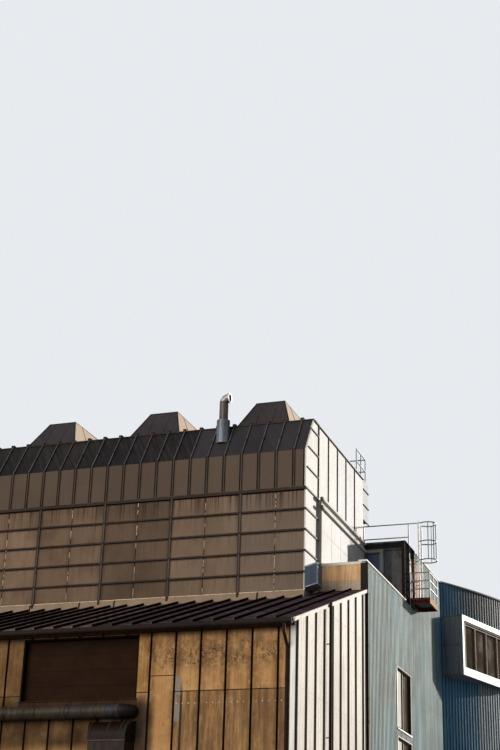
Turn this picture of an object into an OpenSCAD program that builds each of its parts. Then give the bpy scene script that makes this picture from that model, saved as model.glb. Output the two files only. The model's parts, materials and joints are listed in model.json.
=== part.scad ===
// Factory building: a metal-clad upper hall with a mansard front and roof monitors, standing in a
// lean-to with ochre panels, a light blue side block with a caged ladder, and a curved rear wing.
// Lengths are in millimetres. The design point is the ground below the upper hall's right front corner:
// X runs right along the front, Y runs back, Z runs up.

/* [Upper hall] */
// Distance between two cladding ribs
rib_pitch = 700; // [650:10:750]
// Full bays of four ribs beside the narrower corner bay
full_bays = 5; // [5:1:6]
// Width of the narrower bay at the corner
corner_bay_w = 2575; // [2500:25:2700]
// Depth of the hall from its front face to its rear face
hall_d = 8400; // [8300:50:8500]
// Height of the heavy rail under the ribs
rail_z = 17650; // [17600:10:17700]
// Height of one cladding course below the heavy rail
course_h = 800; // [780:10:820]
// Height of one cladding course above the heavy rail, on the side wall
upper_course_h = 850; // [820:10:860]
// Height where the front cladding bends back
bend_z = 19190; // [19100:10:19250]
// Height of the roof edge
roof_edge_z = 20700; // [20600:50:20800]
// Depth over which the front cladding leans back
slope_d = 1020; // [950:10:1100]
// Lower end of the hall's walls above the lean-to
hall_base_z = 13200; // [13100:50:13300]

/* [Roof monitors] */
// Number of roof monitors
monitors = 3; // [1:1:3]
// Distance between two monitors
monitor_pitch = 4620; // [4500:20:4700]
// Place of the right monitor's middle line, left of the corner
monitor_x = 2090; // [2000:10:2300]
// Width of a monitor at its foot
monitor_w = 2150; // [2000:50:2300]
// Width of a monitor at its top
monitor_top_w = 1190; // [1000:10:1300]
// Height of a monitor above the roof edge
monitor_h = 1300; // [1200:50:1400]
// Depth of the hipped end
monitor_hip_d = 880; // [800:20:950]
// Length of a monitor at its foot
monitor_l = 6100; // [5500:100:6300]

/* [Lean-to] */
// Distance of the front wall from the hall's front face
lean_d = 6750; // [6600:50:6800]
// Height of the lean-to roof where it meets the hall
junction_z = 13500; // [13450:10:13550]
// Height of the lean-to roof at the eave
eave_z = 11070; // [11000:10:11100]
// Overhang of the roof in front of the wall
eave_over = 350; // [300:10:400]
// Distance between two standing seams
seam_pitch = 690; // [600:10:800]
// Width that the side block stands out from the hall's side
side_w = 1850; // [1800:10:1900]

/* [Front wall] */
// Width of one ochre panel
panel_w = 844; // [820:2:860]
// Distance of the first panel joint from the hall's corner line
first_joint_x = 1307; // [1280:1:1330]
// Width of the recessed high opening
recess_w = 4090; // [3900:10:4100]
// Distance of the recess's right jamb from the corner line
recess_x = 3340; // [3320:10:3360]
// Height of the recess's sill
recess_sill_z = 8830; // [8700:10:8900]
// Height of the recess
recess_h = 2000; // [1900:10:2050]
// Height of the goods doorway
gate_h = 4500; // [4000:50:5000]
// Width of the steel door
door_w = 1000; // [900:10:1100]
// Height of the steel door
door_h = 2100; // [2000:10:2200]

/* [Side block] */
// Height of the side block's parapet
parapet_z = 15170; // [15100:10:15250]
// Place of the parapet's front face behind the hall's front face
parapet_y = 1750; // [1700:10:1800]
// Front edge of the side windows
window_y = 6410; // [6300:10:6500]
// Width of one side window
window_w = 2400; // [2300:10:2450]
// Height of one side window
window_h = 2380; // [2300:10:2400]
// Sill height of the lowest side window
first_sill_z = 1700; // [1600:10:1800]
// Height of one storey
storey_h = 2700; // [2650:10:2750]

/* [Rear block] */
// Place of the penthouse's front face
penthouse_y = 8200; // [8200:10:8250]
// Height of the rear block
rear_z = 17760; // [17700:10:17800]
// Place where the straight side wall meets the curved wing
corner_y = 15100; // [15000:50:15200]
// Place of the rear wall's outer face
back_y = 20300; // [20200:50:20400]

/* [Curved wing] */
// Outer radius of the curved wall
wing_r = 26000; // [25000:500:28000]
// Direction of the curved wall where it starts, from the X axis
wing_angle = 58.5; // [58:0.5:60]
// Length of the bay window
bay_l = 4780; // [4700:20:4900]
// Direction of the bay window's face, from the X axis
bay_angle = 73.5; // [72:0.5:75]
// Underside of the bay window
bay_z = 13370; // [13300:10:13400]
// Height of the bay window
bay_h = 2750; // [2700:10:2800]

/* [Cladding] */
// Thickness of a clad wall
wall_t = 250; // [240:10:260]
// Thickness of the side cladding that wraps a corner
skin_t = 60; // [50:5:60]
// Distance between two ribs of the blue sheet
sheet_pitch = 205; // [190:5:220]
// Depth of a blue sheet's rib
sheet_rib_d = 35; // [30:1:40]

/* [Hidden] */
round_fn = 48;
small_fn = 24;

// Colours as seen on the object
brown_grey = [0.41, 0.35, 0.3];
charcoal = [0.24, 0.22, 0.22];
ochre = [0.65, 0.49, 0.31];
pale_ochre = [0.7, 0.58, 0.42];
cream = [0.93, 0.9, 0.84];
white = [0.95, 0.94, 0.91];
light_blue = [0.6, 0.7, 0.7];
blue_grey = [0.3, 0.36, 0.4];
dark_brown = [0.17, 0.13, 0.11];
dark_metal = [0.22, 0.22, 0.23];
galvanised = [0.7, 0.7, 0.69];
rust_red = [0.4, 0.2, 0.16];
concrete = [0.6, 0.58, 0.55];
pane = [0.25, 0.28, 0.3];

// Widths along the front
bay_w = rib_pitch * 4;
hall_w = corner_bay_w + full_bays * bay_w;
inner_left = wall_t - hall_w;
inner_right = side_w - wall_t;
side_skin_x = side_w - skin_t;

// Roofs
roof_t = 300;
thin_roof_t = 120;
eave_y = -lean_d - eave_over;
roof_slope = (junction_z - eave_z) / -eave_y;
front_y = -lean_d;
face_y = 60;
flat_roof_z = 15000;
rear_roof_z = 17600;
rear_roof_t = 250;
gutter_w = 160;
gutter_h = 190;

// Front wall
gate_right = -recess_x + 40;
gate_left = gate_right - recess_w - 110;
joint_w = 30;
joint_d = 20;
left_recess_right = -recess_x - recess_w - 2 * panel_w;
door_right = -700;

// Rear parts
rear_front_y = hall_d;
deck_z = 15500;
deck_t = 250;
deck_y0 = 9050;
deck_y1 = 10600;
deck_w = 850;
penthouse_floor_z = 15300;
penthouse_side_y = 9950;
coping_h = 60;
coping_over = 40;
wall_top_z = rear_z - coping_h;
rear_box_d = 900;
rear_box_z = 18800;
rear_box_rise = 140;

// Ladder
ladder_y = 10275;
ladder_gap = 550;
ladder_ys = [ladder_y - ladder_gap / 2, ladder_y + ladder_gap / 2];
ladder_x = side_w + 200;
ladder_top = 19100;
cage_r = 370;
bar_t = 40;

// Curved wing: the centre of the arc and the bay window's corners
wing_c = [side_w - wing_r * sin(wing_angle), corner_y + wing_r * cos(wing_angle)];
wing_end_angle = acos((wing_c.y - back_y) / wing_r);
wing_inner_r = wing_r - wall_t;
inner_start = asin((inner_right - wing_c.x) / wing_inner_r);
inner_end = acos((wing_c.y - back_y + wall_t) / wing_inner_r);
arc_steps = 24;
bay_corner = [2900, 14950];
bay_dir = [cos(bay_angle), sin(bay_angle)];
bay_far = bay_corner + bay_l * bay_dir;
bay_out = [sin(bay_angle), -cos(bay_angle)];
bay_depth_in = 1500;
bay_t = 120;
bay_band_t = 260;
bay_head_t = 120;

// Doors of the rear block
penthouse_door_x = 130;
penthouse_door_w = 620;
penthouse_door_head = 17300;
landing_door_y = 9150;
landing_door_w = 750;
landing_door_head = 17400;

// Windows
rear_window_x = [-14500, -9700, -4900];
frame_d = 110;
frame_in = 60;
frame_w = 70;
glass_t = 24;
bay_panes = 4;
bay_post = 60;
bay_depth = 150;
bay_end_post = 200;
bay_pane_w = (bay_l - 2 * bay_t - bay_post) / bay_panes;

// Hall's side wall: the proud field and the seams above it
field_t = 150;
strip_y = 1622;
field_end = 7950;
seam_ys = [2984, 4285, 5577, 6933];

// Floors
slab_t = 220;
slab_levels = [4200, 6900, 9600, 12300];

// Columns and girders
column_t = 250;
column_x = [-column_t, -5500, -11000];
girder_z = 12800;
rear_column_y = 14100;

// Frame of the whole: the origin is the middle of the bounding box at ground level
far_x = wing_c.x + sqrt(pow(wing_r + coping_over, 2) - pow(wing_c.y - back_y, 2));
near_y = eave_y - gutter_w;
mid_x = (far_x - hall_w) / 2;
mid_y = (back_y + near_y) / 2;

function monitor_at(n) = -monitor_x - n * monitor_pitch;
// Near and far end of one pane of the bay window, along its face
function bay_pane_x(i) =
    [bay_t + (i == 0 ? bay_end_post : bay_post + i * bay_pane_w), bay_t + (i + 1) * bay_pane_w];
function roof_at(y) = junction_z + roof_slope * y;
function mullion_x(n) = n == 0 ? 0 : -corner_bay_w - (n - 1) * bay_w;
function on_wing(r, t) = wing_c + r * [sin(t), -cos(t)];
// Points of the curved wall's inner face, from its start to its end
function inner_arc() =
    [for (i = [0:arc_steps]) on_wing(wing_inner_r, inner_start + (inner_end - inner_start) * i / arc_steps)];

// One rib of a trapezoidal sheet as [along, out] points, starting at a
function sheet_rib(a, pitch, depth) =
    [[a + pitch * 0.3, 0], [a + pitch * 0.4, depth], [a + pitch * 0.75, depth], [a + pitch * 0.85, 0]];
// All ribs between two places along a wall
function sheet_ribs(a, b, depth) =
    let (count = floor((b - a) / sheet_pitch), pitch = (b - a) / count)
    [for (i = [0:count - 1]) each sheet_rib(a + i * pitch, pitch, depth)];

module in_frame() {
    translate([-mid_x, -mid_y, 0])
        children();
}

// A box between its low and its high corner
module block(low, high) {
    translate(low)
        cube(high - low);
}

// A profile of [y, z] points drawn out along X
module along_x(x0, x1) {
    translate([x0, 0, 0])
        rotate([90, 0, 90])
            linear_extrude(x1 - x0)
                children();
}

// A round bar between two points
module bar(p, q, d) {
    v = q - p;
    translate(p)
        rotate([0, acos(v.z / norm(v)), atan2(v.y, v.x)])
            cylinder(h = norm(v), d = d, $fn = small_fn);
}

// A square bar along one axis, centred on both points
module square_bar(p, q, t = bar_t) {
    low = [min(p.x, q.x), min(p.y, q.y), min(p.z, q.z)];
    high = [max(p.x, q.x), max(p.y, q.y), max(p.z, q.z)];
    block(low - [t, t, t] / 2, high + [t, t, t] / 2);
}

// Front wall of the lean-to

module front_wall_slab(x0, x1) {
    along_x(x0, x1)
        polygon([
            [front_y, 0], [front_y, roof_at(front_y) - thin_roof_t],
            [front_y + wall_t, roof_at(front_y + wall_t) - thin_roof_t], [front_y + wall_t, 0]
        ]);
}

module panel_joints(first, last) {
    for (i = [first:last])
        block([first_joint_x - i * panel_w - joint_w, front_y - 1, -1],
              [first_joint_x - i * panel_w, front_y + joint_d, eave_z]);
}

module recess_cut(right) {
    block([right - recess_w, front_y - 1, recess_sill_z],
          [right, front_y + wall_t + 1, recess_sill_z + recess_h]);
}

module front_wall_right() {
    color(ochre)
        difference() {
            front_wall_slab(gate_right, side_skin_x);
            panel_joints(0, 5);
            block([door_right - door_w, front_y - 1, -1], [door_right, front_y + wall_t + 1, door_h]);
        }
}

module front_wall_middle() {
    color(ochre)
        difference() {
            front_wall_slab(gate_left, gate_right);
            panel_joints(6, 10);
            recess_cut(-recess_x);
            block([gate_left - 1, front_y - 1, -1], [gate_right + 1, front_y + wall_t + 1, gate_h]);
        }
}

module front_wall_left() {
    color(ochre)
        difference() {
            front_wall_slab(inner_left, gate_left);
            panel_joints(11, 20);
            recess_cut(left_recess_right);
        }
}

// Dark boards set back in the two high openings, with a sill rail in front
module recess_panels() {
    board_y = front_y + 190;
    board_t = 50;
    lap_h = 20;
    lap_d = 12;
    laps = 4;
    color(dark_brown)
        for (right = [-recess_x, left_recess_right]) {
            block([right - recess_w, board_y, recess_sill_z],
                  [right, board_y + board_t, recess_sill_z + recess_h]);
            for (k = [1:laps - 1])
                block([right - recess_w, board_y - lap_d, recess_sill_z + recess_h * k / laps],
                      [right, board_y, recess_sill_z + recess_h * k / laps + lap_h]);
        }
}

// Shutter rolled up in its box behind the doorway's head, with its two guides
module roller_shutter() {
    inner_y = front_y + wall_t;
    box_d = 520;
    guide_w = 90;
    slat_h = 95;
    slat_d = 104;
    color(galvanised) {
        block([gate_left, inner_y, gate_h], [gate_right, inner_y + box_d, gate_h + box_d]);
        for (x = [gate_left, gate_right - guide_w])
            block([x, inner_y, 0], [x + guide_w, inner_y + guide_w, gate_h]);
        for (k = [0:4])
            translate([gate_left + guide_w, inner_y + 45, gate_h - slat_h * (k + 0.5)])
                rotate([0, 90, 0])
                    cylinder(h = gate_right - gate_left - 2 * guide_w, d = slat_d, $fn = small_fn);
    }
}

// The ground floor door, the penthouse door and the door to the landing
module steel_doors() {
    leaf_t = 60;
    set_back = 90;
    color(blue_grey) {
        block([door_right - door_w, front_y + set_back, 0],
              [door_right, front_y + set_back + leaf_t, door_h]);
        block([penthouse_door_x, penthouse_y + set_back, penthouse_floor_z],
              [penthouse_door_x + penthouse_door_w, penthouse_y + set_back + leaf_t, penthouse_door_head]);
        block([side_w - set_back - leaf_t, landing_door_y, deck_z],
              [side_w - set_back, landing_door_y + landing_door_w, landing_door_head]);
    }
}

// Side walls

// White trapezoidal wall: broad pans with a narrow groove between them
module white_side_wall() {
    pan = 979;
    rib_w = 50;
    rib_d = 55;
    first = front_y + 80;
    module under_roof(x0, x1) {
        intersection() {
            linear_extrude(roof_at(parapet_y))
                children();
            along_x(x0 - 1, x1 + 1)
                polygon([
                    [front_y - 1, -1], [front_y - 1, roof_at(front_y - 1) - thin_roof_t],
                    [parapet_y, roof_at(parapet_y) - thin_roof_t], [parapet_y, -1]
                ]);
        }
    }
    color(white) {
        under_roof(inner_right, side_w)
            polygon([
                [inner_right, front_y + wall_t], [side_skin_x, front_y + wall_t], [side_skin_x, front_y],
                [side_w, front_y], [side_w, parapet_y], [inner_right, parapet_y]
            ]);
        under_roof(side_w, side_w + rib_d)
            for (i = [0:8])
                translate([side_w - 1, first + i * pan])
                    square([rib_d + 1, rib_w]);
    }
}

// Light blue ribbed wall, level up to the penthouse and higher behind it, with one window to each storey
module blue_side_wall() {
    color(light_blue)
        difference() {
            linear_extrude(wall_top_z)
                polygon(concat(
                    [[inner_right, parapet_y], [side_w - sheet_rib_d, parapet_y]],
                    [for (p = sheet_ribs(parapet_y, corner_y, sheet_rib_d))
                        [side_w - sheet_rib_d + p.y, p.x]],
                    [[side_w - sheet_rib_d, corner_y], [inner_right, corner_y]]));
            block([inner_right - 1, parapet_y - 1, parapet_z], [side_w + 1, penthouse_side_y, rear_z]);
            for (k = [0:3])
                block([inner_right - 1, window_y, first_sill_z + k * storey_h],
                      [side_w + 1, window_y + window_w, first_sill_z + k * storey_h + window_h]);
        }
}

// A window frame with one mullion, w wide and h high, standing in the XZ plane from the origin
module window_frame(w, h) {
    difference() {
        cube([w, frame_d, h]);
        for (x = [frame_w, (w + frame_w) / 2])
            translate([x, -1, frame_w])
                cube([(w - 3 * frame_w) / 2, frame_d + 2, h - 2 * frame_w]);
    }
}

// The two panes of the same frame
module window_panes(w, h) {
    for (x = [frame_w, (w + frame_w) / 2])
        translate([x, (frame_d - glass_t) / 2, frame_w])
            cube([(w - 3 * frame_w) / 2, glass_t, h - 2 * frame_w]);
}

// Puts a window into each opening of the side wall and of the rear wall
module at_windows() {
    for (k = [0:3])
        translate([side_w - frame_in, window_y, first_sill_z + k * storey_h])
            rotate([0, 0, 90])
                children();
    for (x = rear_window_x, k = [0:4])
        translate([x, back_y - frame_in - frame_d, first_sill_z + k * storey_h])
            children();
}

// Puts its children on the bay window's face, X along the face and Y into the bay
module on_bay_face() {
    translate([bay_corner.x, bay_corner.y, bay_z + bay_t])
        rotate([0, 0, bay_angle])
            children();
}

module window_frames() {
    color(cream)
        at_windows()
            window_frame(window_w, window_h);
}

module window_glass() {
    color(pane) {
        at_windows()
            window_panes(window_w, window_h);
        on_bay_face()
            for (i = [0:bay_panes - 1])
                block([bay_pane_x(i)[0], (bay_depth - glass_t) / 2, bay_band_t],
                      [bay_pane_x(i)[1], (bay_depth + glass_t) / 2, bay_h - 2 * bay_t - bay_head_t]);
    }
}

// Beige parapet front between the hall's side and the blue wall
module parapet_front() {
    seam_z = 14450;
    lap_h = 25;
    lap_d = 15;
    seam_x = 770;
    seam_t = 20;
    color(pale_ochre)
        difference() {
            block([0, parapet_y, hall_base_z], [inner_right, parapet_y + wall_t, parapet_z]);
            block([-1, parapet_y - 1, seam_z], [inner_right + 1, parapet_y + lap_d, seam_z + lap_h]);
            block([seam_x, parapet_y - 1, seam_z], [seam_x + seam_t, parapet_y + lap_d, parapet_z + 1]);
        }
}

// Sloping verge of the lean-to roof, coping of the blue wall and caps of the penthouse side and the wing
module side_flashings() {
    lap = 25;
    verge_t = 70;
    first = wing_angle - 0.4;
    last = wing_end_angle + 0.2;
    angles = [for (i = [0:arc_steps]) first + (last - first) * i / arc_steps];
    color(white) {
        along_x(side_w, side_w + verge_t)
            polygon([
                [front_y - lap, roof_at(front_y) - thin_roof_t],
                [eave_y, roof_at(eave_y) - thin_roof_t],
                [eave_y, roof_at(eave_y)], [parapet_y - lap, roof_at(parapet_y - lap)],
                [parapet_y - lap, roof_at(parapet_y - lap) - thin_roof_t]
            ]);
        block([inner_right - coping_over, parapet_y - lap, parapet_z],
              [side_w + coping_over, penthouse_y, parapet_z + coping_h]);
        block([inner_right - coping_over, penthouse_side_y, wall_top_z],
              [side_w + coping_over, corner_y, rear_z]);
        intersection() {
            translate([0, 0, wall_top_z])
                linear_extrude(coping_h)
                    polygon(concat(
                        [for (t = angles) on_wing(wing_r + coping_over, t)],
                        [for (i = [arc_steps:-1:0]) on_wing(wing_inner_r - coping_over, angles[i])]));
            block([0, corner_y, wall_top_z - 1], [far_x + wall_t, back_y, rear_z + 1]);
        }
    }
}

module side_roof() {
    color(charcoal)
        block([0, parapet_y + wall_t, flat_roof_z - 200], [inner_right, penthouse_y, flat_roof_z]);
}

// Lean-to roof: a sloping slab with standing seams that reaches back to the parapet beside the hall
module lean_to_roof() {
    seam_w = 45;
    seam_h = 75;
    seam_gap = 60;
    end_seam_pitch = 620;
    left_seams = floor((hall_w - wall_t) / seam_pitch);
    color(charcoal) {
        along_x(inner_left, side_w)
            polygon([
                [eave_y, roof_at(eave_y) - thin_roof_t], [eave_y, roof_at(eave_y)],
                [face_y, roof_at(face_y)], [face_y, roof_at(face_y) - thin_roof_t]
            ]);
        along_x(0, side_w)
            polygon([
                [-1, roof_at(-1) - thin_roof_t], [-1, roof_at(-1)],
                [parapet_y, roof_at(parapet_y)], [parapet_y, roof_at(parapet_y) - thin_roof_t]
            ]);
        for (k = [0:left_seams])
            along_x(-k * seam_pitch - seam_gap - seam_w, -k * seam_pitch - seam_gap)
                polygon([
                    [eave_y, roof_at(eave_y) - 1], [eave_y, roof_at(eave_y) + seam_h],
                    [face_y, roof_at(face_y) + seam_h], [face_y, roof_at(face_y) - 1]
                ]);
        for (x = [end_seam_pitch, 2 * end_seam_pitch])
            along_x(x, x + seam_w)
                polygon([
                    [eave_y, roof_at(eave_y) - 1], [eave_y, roof_at(eave_y) + seam_h],
                    [parapet_y, roof_at(parapet_y) + seam_h], [parapet_y, roof_at(parapet_y) - 1]
                ]);
    }
}

// Half-round eaves gutter with its brackets
module front_gutter() {
    r = gutter_w / 2;
    top = eave_z - 30;
    color(dark_metal) {
        difference() {
            union() {
                translate([inner_left, eave_y - r, top - r])
                    rotate([0, 90, 0])
                        cylinder(h = side_w - inner_left, r = r, $fn = round_fn);
                block([inner_left, eave_y - gutter_w, top - r], [side_w, eave_y, top]);
            }
            translate([inner_left + 15, eave_y - r, top - r])
                rotate([0, 90, 0])
                    cylinder(h = side_w - inner_left - 30, r = r - 12, $fn = round_fn);
            block([inner_left + 15, eave_y - gutter_w + 12, top - r], [side_w - 15, eave_y - 12, top + 1]);
        }
        for (x = [side_w - 400:-panel_w:inner_left])
            block([x, eave_y - gutter_w, top - 18], [x + 40, eave_y, top + 12]);
    }
}

// Pipe with a swan neck at the front corner, and the brown pipe at the blue wall's corner
module downpipes() {
    d = 100;
    front_x = side_w - 260;
    front_pipe_y = front_y - 70;
    gutter_mid = eave_y - gutter_w / 2;
    swan_neck_z = [10250, 10640];
    middle_x = side_w + 120;
    middle_y = -3360;
    middle_top = roof_at(middle_y) + 60;
    bracket_zs = [2000, 5000, 8000, 11000];
    bracket_t = 30;
    rear_y = parapet_y - 75;
    color(dark_brown) {
        bar([front_x, front_pipe_y, 0], [front_x, front_pipe_y, swan_neck_z[0]], d);
        translate([front_x, front_pipe_y, swan_neck_z[0]])
            sphere(d = d, $fn = small_fn);
        bar([front_x, front_pipe_y, swan_neck_z[0]], [front_x, gutter_mid, swan_neck_z[1]], d);
        translate([front_x, gutter_mid, swan_neck_z[1]])
            sphere(d = d, $fn = small_fn);
        bar([front_x, gutter_mid, swan_neck_z[1]], [front_x, gutter_mid, eave_z - gutter_w], d);
        bar([middle_x, middle_y, 0], [middle_x, middle_y, middle_top], d);
        for (z = bracket_zs)
            block([side_w, middle_y - bracket_t / 2, z],
                  [middle_x, middle_y + bracket_t / 2, z + bracket_t]);
        bar([side_w + d / 2, rear_y, 0], [side_w + d / 2, rear_y, parapet_z - coping_h], d);
    }
}

// Upper hall

// Front wall of the hall with a joint in the middle of each bay, and the flashing at its foot
module upper_front_wall() {
    flashing_h = 280;
    color(pale_ochre)
        along_x(inner_left, 0)
            polygon([
                [face_y, roof_at(face_y)], [face_y - 90, roof_at(face_y - 90)],
                [face_y - 20, junction_z + flashing_h], [face_y, junction_z + flashing_h]
            ]);
    color(brown_grey)
        difference() {
            block([inner_left, face_y, hall_base_z], [-skin_t, face_y + wall_t, bend_z]);
            for (n = [0:full_bays])
                block([mullion_x(n) - bay_w / 2 - 8, face_y - 1, junction_z],
                      [mullion_x(n) - bay_w / 2 + 8, face_y + 12, rail_z - 1]);
        }
}

// Horizontal rails and the mullions that they cross, proud of the cladding
module front_cladding_rails() {
    rail_h = 70;
    heavy_h = 120;
    mullion_w = 90;
    mullion_low = junction_z;
    color(dark_metal) {
        block([inner_left, face_y - 75, rail_z - heavy_h / 2], [0, face_y, rail_z + heavy_h / 2]);
        for (k = [1:4])
            block([inner_left, face_y - 45, rail_z - k * course_h - rail_h / 2],
                  [0, face_y, rail_z - k * course_h + rail_h / 2]);
        for (n = [1:full_bays])
            block([mullion_x(n) - mullion_w / 2, face_y - 60, mullion_low],
                  [mullion_x(n) + mullion_w / 2, face_y, rail_z]);
    }
}

module mansard_slope() {
    color(charcoal)
        along_x(inner_left, -skin_t)
            polygon([
                [face_y, bend_z], [slope_d, roof_edge_z],
                [slope_d, roof_edge_z - roof_t], [face_y + wall_t, bend_z]
            ]);
}

// Ribs that rise from the heavy rail, bend back up the slope and end in a small cap
module mansard_ribs() {
    rib_w = 50;
    rib_d = 60;
    cap_w = 130;
    cap_back = 160;
    ridge_front = 40;
    ridge_back = 60;
    ridge_h = 45;
    run = [slope_d - face_y, roof_edge_z - bend_z];
    out = [-run.y, run.x] / norm(run) * rib_d;
    foot = rail_z + 60;
    ribs = floor((hall_w - wall_t - corner_bay_w) / rib_pitch);
    module rib(x) {
        along_x(x - rib_w / 2, x + rib_w / 2)
            polygon([
                [face_y, foot], [face_y - rib_d, foot], [face_y - rib_d, bend_z + rib_w / 2],
                [slope_d + out.x, roof_edge_z + out.y], [slope_d, roof_edge_z], [face_y, bend_z]
            ]);
        block([x - cap_w / 2, slope_d + out.x, roof_edge_z],
              [x + cap_w / 2, slope_d + cap_back, roof_edge_z + cap_w]);
    }
    color(charcoal) {
        for (k = [-3:ribs])
            rib(-corner_bay_w - k * rib_pitch);
        block([inner_left, slope_d - ridge_front, roof_edge_z],
              [0, slope_d + ridge_back, roof_edge_z + ridge_h]);
    }
}

// Side wall: a backing slab and the skin that wraps the front corner and the roof edge
module upper_side_wall() {
    color(cream) {
        along_x(-wall_t, -skin_t)
            polygon([
                [face_y + wall_t, hall_base_z], [face_y + wall_t, bend_z],
                [slope_d, roof_edge_z - roof_t], [hall_d, roof_edge_z - roof_t], [hall_d, hall_base_z]
            ]);
        along_x(-skin_t, 0)
            polygon([
                [face_y, hall_base_z], [face_y, bend_z], [slope_d, roof_edge_z],
                [hall_d, roof_edge_z], [hall_d, hall_base_z]
            ]);
    }
}

// Battens, short ribs, the two drip ledges and the field that stands proud below them
module side_battens() {
    t = 45;
    batten_w = 40;
    trim_t = 60;
    rib_w = 60;
    ledge_gap = 330;
    ledge_d = 110;
    ledge_t = 100;
    ledge_lap = 200;
    hood_end = 950;
    step_back = 130;
    box_rib_up = 50;
    color(cream) {
        block([0, strip_y, parapet_z], [field_t, field_end, rail_z]);
        block([0, parapet_y + wall_t, flat_roof_z], [field_t, field_end, parapet_z]);
        for (k = [0, 1])
            block([field_t, strip_y - ledge_lap, rail_z - ledge_t / 2 - k * ledge_gap],
                  [field_t + ledge_d, field_end, rail_z + ledge_t / 2 - k * ledge_gap]);
        for (y = concat([strip_y], seam_ys))
            block([0, y - batten_w / 2, rail_z], [t, y + batten_w / 2, roof_edge_z]);
        block([0, slope_d, roof_edge_z - trim_t], [trim_t, hall_d, roof_edge_z]);
    }
    color(dark_metal) {
        for (k = [1:3])
            block([0, k * step_back, rail_z + k * upper_course_h - batten_w / 2],
                  [t, strip_y - batten_w / 2, rail_z + k * upper_course_h + batten_w / 2]);
        for (k = [0:2])
            block([0, hall_d, rear_box_z + box_rib_up + k * rib_pitch - batten_w / 2],
                  [t, hall_d + rear_box_d, rear_box_z + box_rib_up + k * rib_pitch + batten_w / 2]);
        for (k = [0:4])
            block([0, k == 4 ? hood_end : 0, rail_z - k * course_h - rib_w / 2],
                  [t, strip_y, rail_z - k * course_h + rib_w / 2]);
    }
}

module upper_rear_wall() {
    color(brown_grey)
        block([inner_left, hall_d - wall_t, hall_base_z], [-wall_t, hall_d, roof_edge_z - roof_t]);
}

// Boxed eave along the top of the rear wall
module rear_eave_box() {
    color(cream)
        along_x(inner_left, 0)
            polygon([
                [hall_d, rear_box_z], [hall_d + rear_box_d - 30, rear_box_z + rear_box_rise],
                [hall_d + rear_box_d, rear_box_z + rear_box_rise], [hall_d + rear_box_d, roof_edge_z],
                [hall_d, roof_edge_z]
            ]);
}

// Roof slab, open below each monitor
module upper_roof() {
    open_w = monitor_w - 600;
    open_y = [slope_d + 500, slope_d + monitor_l - 500];
    color(charcoal)
        difference() {
            block([inner_left, slope_d, roof_edge_z - roof_t], [-skin_t, hall_d, roof_edge_z]);
            for (n = [0:monitors - 1])
                block([monitor_at(n) - open_w / 2, open_y[0], roof_edge_z - roof_t - 1],
                      [monitor_at(n) + open_w / 2, open_y[1], roof_edge_z + 1]);
        }
}

// A hipped monitor: where a profile along Y and a profile along X meet
module monitor(grow) {
    side = (monitor_w - monitor_top_w) / 2;
    intersection() {
        translate([0, slope_d - grow, roof_edge_z])
            rotate([90, 0, 180])
                linear_extrude(monitor_l + 2 * grow)
                    polygon([
                        [-monitor_w / 2 - grow, 0], [monitor_w / 2 + grow, 0],
                        [monitor_w / 2 - side + grow, monitor_h + grow],
                        [side - monitor_w / 2 - grow, monitor_h + grow]
                    ]);
        along_x(-monitor_w, monitor_w)
            polygon([
                [slope_d - grow, roof_edge_z],
                [slope_d + monitor_hip_d - grow, roof_edge_z + monitor_h + grow],
                [slope_d + monitor_l - monitor_hip_d + grow, roof_edge_z + monitor_h + grow],
                [slope_d + monitor_l + grow, roof_edge_z]
            ]);
    }
}

module roof_monitors() {
    shell = 90;
    color(charcoal)
        for (n = [0:monitors - 1])
            translate([monitor_at(n), 0, 0])
                difference() {
                    monitor(0);
                    translate([0, 0, -1])
                        monitor(-shell);
                }
}

// Sleeve through the slope, upright pipe and a short bend at its top
module gooseneck_vent() {
    x = -3600;
    y = 620;
    foot_z = 19900;
    sleeve_d = 520;
    sleeve_h = 960;
    pipe_d = 350;
    pipe_t = 15;
    bend_r = 190;
    neck_z = 21620;
    mouth_l = 60;
    mouth_rim = 25;
    sleeve_top = foot_z + sleeve_h;
    color(galvanised)
        difference() {
            union() {
                translate([x, y, foot_z])
                    cylinder(h = sleeve_h, d = sleeve_d, $fn = round_fn);
                translate([x, y, sleeve_top])
                    cylinder(h = neck_z - sleeve_top, d = pipe_d, $fn = round_fn);
                translate([x + bend_r, y, neck_z])
                    rotate([90, 0, 180])
                        rotate_extrude(angle = 90, $fn = round_fn)
                            translate([bend_r, 0])
                                circle(d = pipe_d, $fn = round_fn);
                translate([x + bend_r, y, neck_z + bend_r])
                    rotate([0, 90, 0])
                        cylinder(h = mouth_l, d = pipe_d + 2 * mouth_rim, $fn = round_fn);
            }
            along_x(x - sleeve_d, x + sleeve_d)
                polygon([[face_y, bend_z], [slope_d, roof_edge_z], [slope_d, bend_z]]);
            translate([x + bend_r - 5, y, neck_z + bend_r])
                rotate([0, 90, 0])
                    cylinder(h = mouth_l + 10, d = pipe_d - 2 * pipe_t, $fn = round_fn);
        }
}

// Slanted box over the joint of the hall, the lean-to roof and the parapet
module corner_hood() {
    low_z = 13830;
    high_z = 14620;
    t = 40;
    out_x = 610;
    near_hood_y = -450;
    side_l = 640;
    wall_l = 950;
    color(blue_grey)
        difference() {
            translate([0, 0, low_z])
                linear_extrude(high_z - low_z)
                    polygon([[0, 0], [out_x, near_hood_y], [out_x, near_hood_y + side_l], [0, wall_l]]);
            translate([0, 0, low_z + t])
                linear_extrude(high_z - low_z - 2 * t)
                    polygon([
                        [-1, 1.5 * t], [out_x - t, near_hood_y + 1.8 * t],
                        [out_x - t, near_hood_y + side_l - t / 2], [-1, wall_l - 1.8 * t]
                    ]);
        }
}

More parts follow.
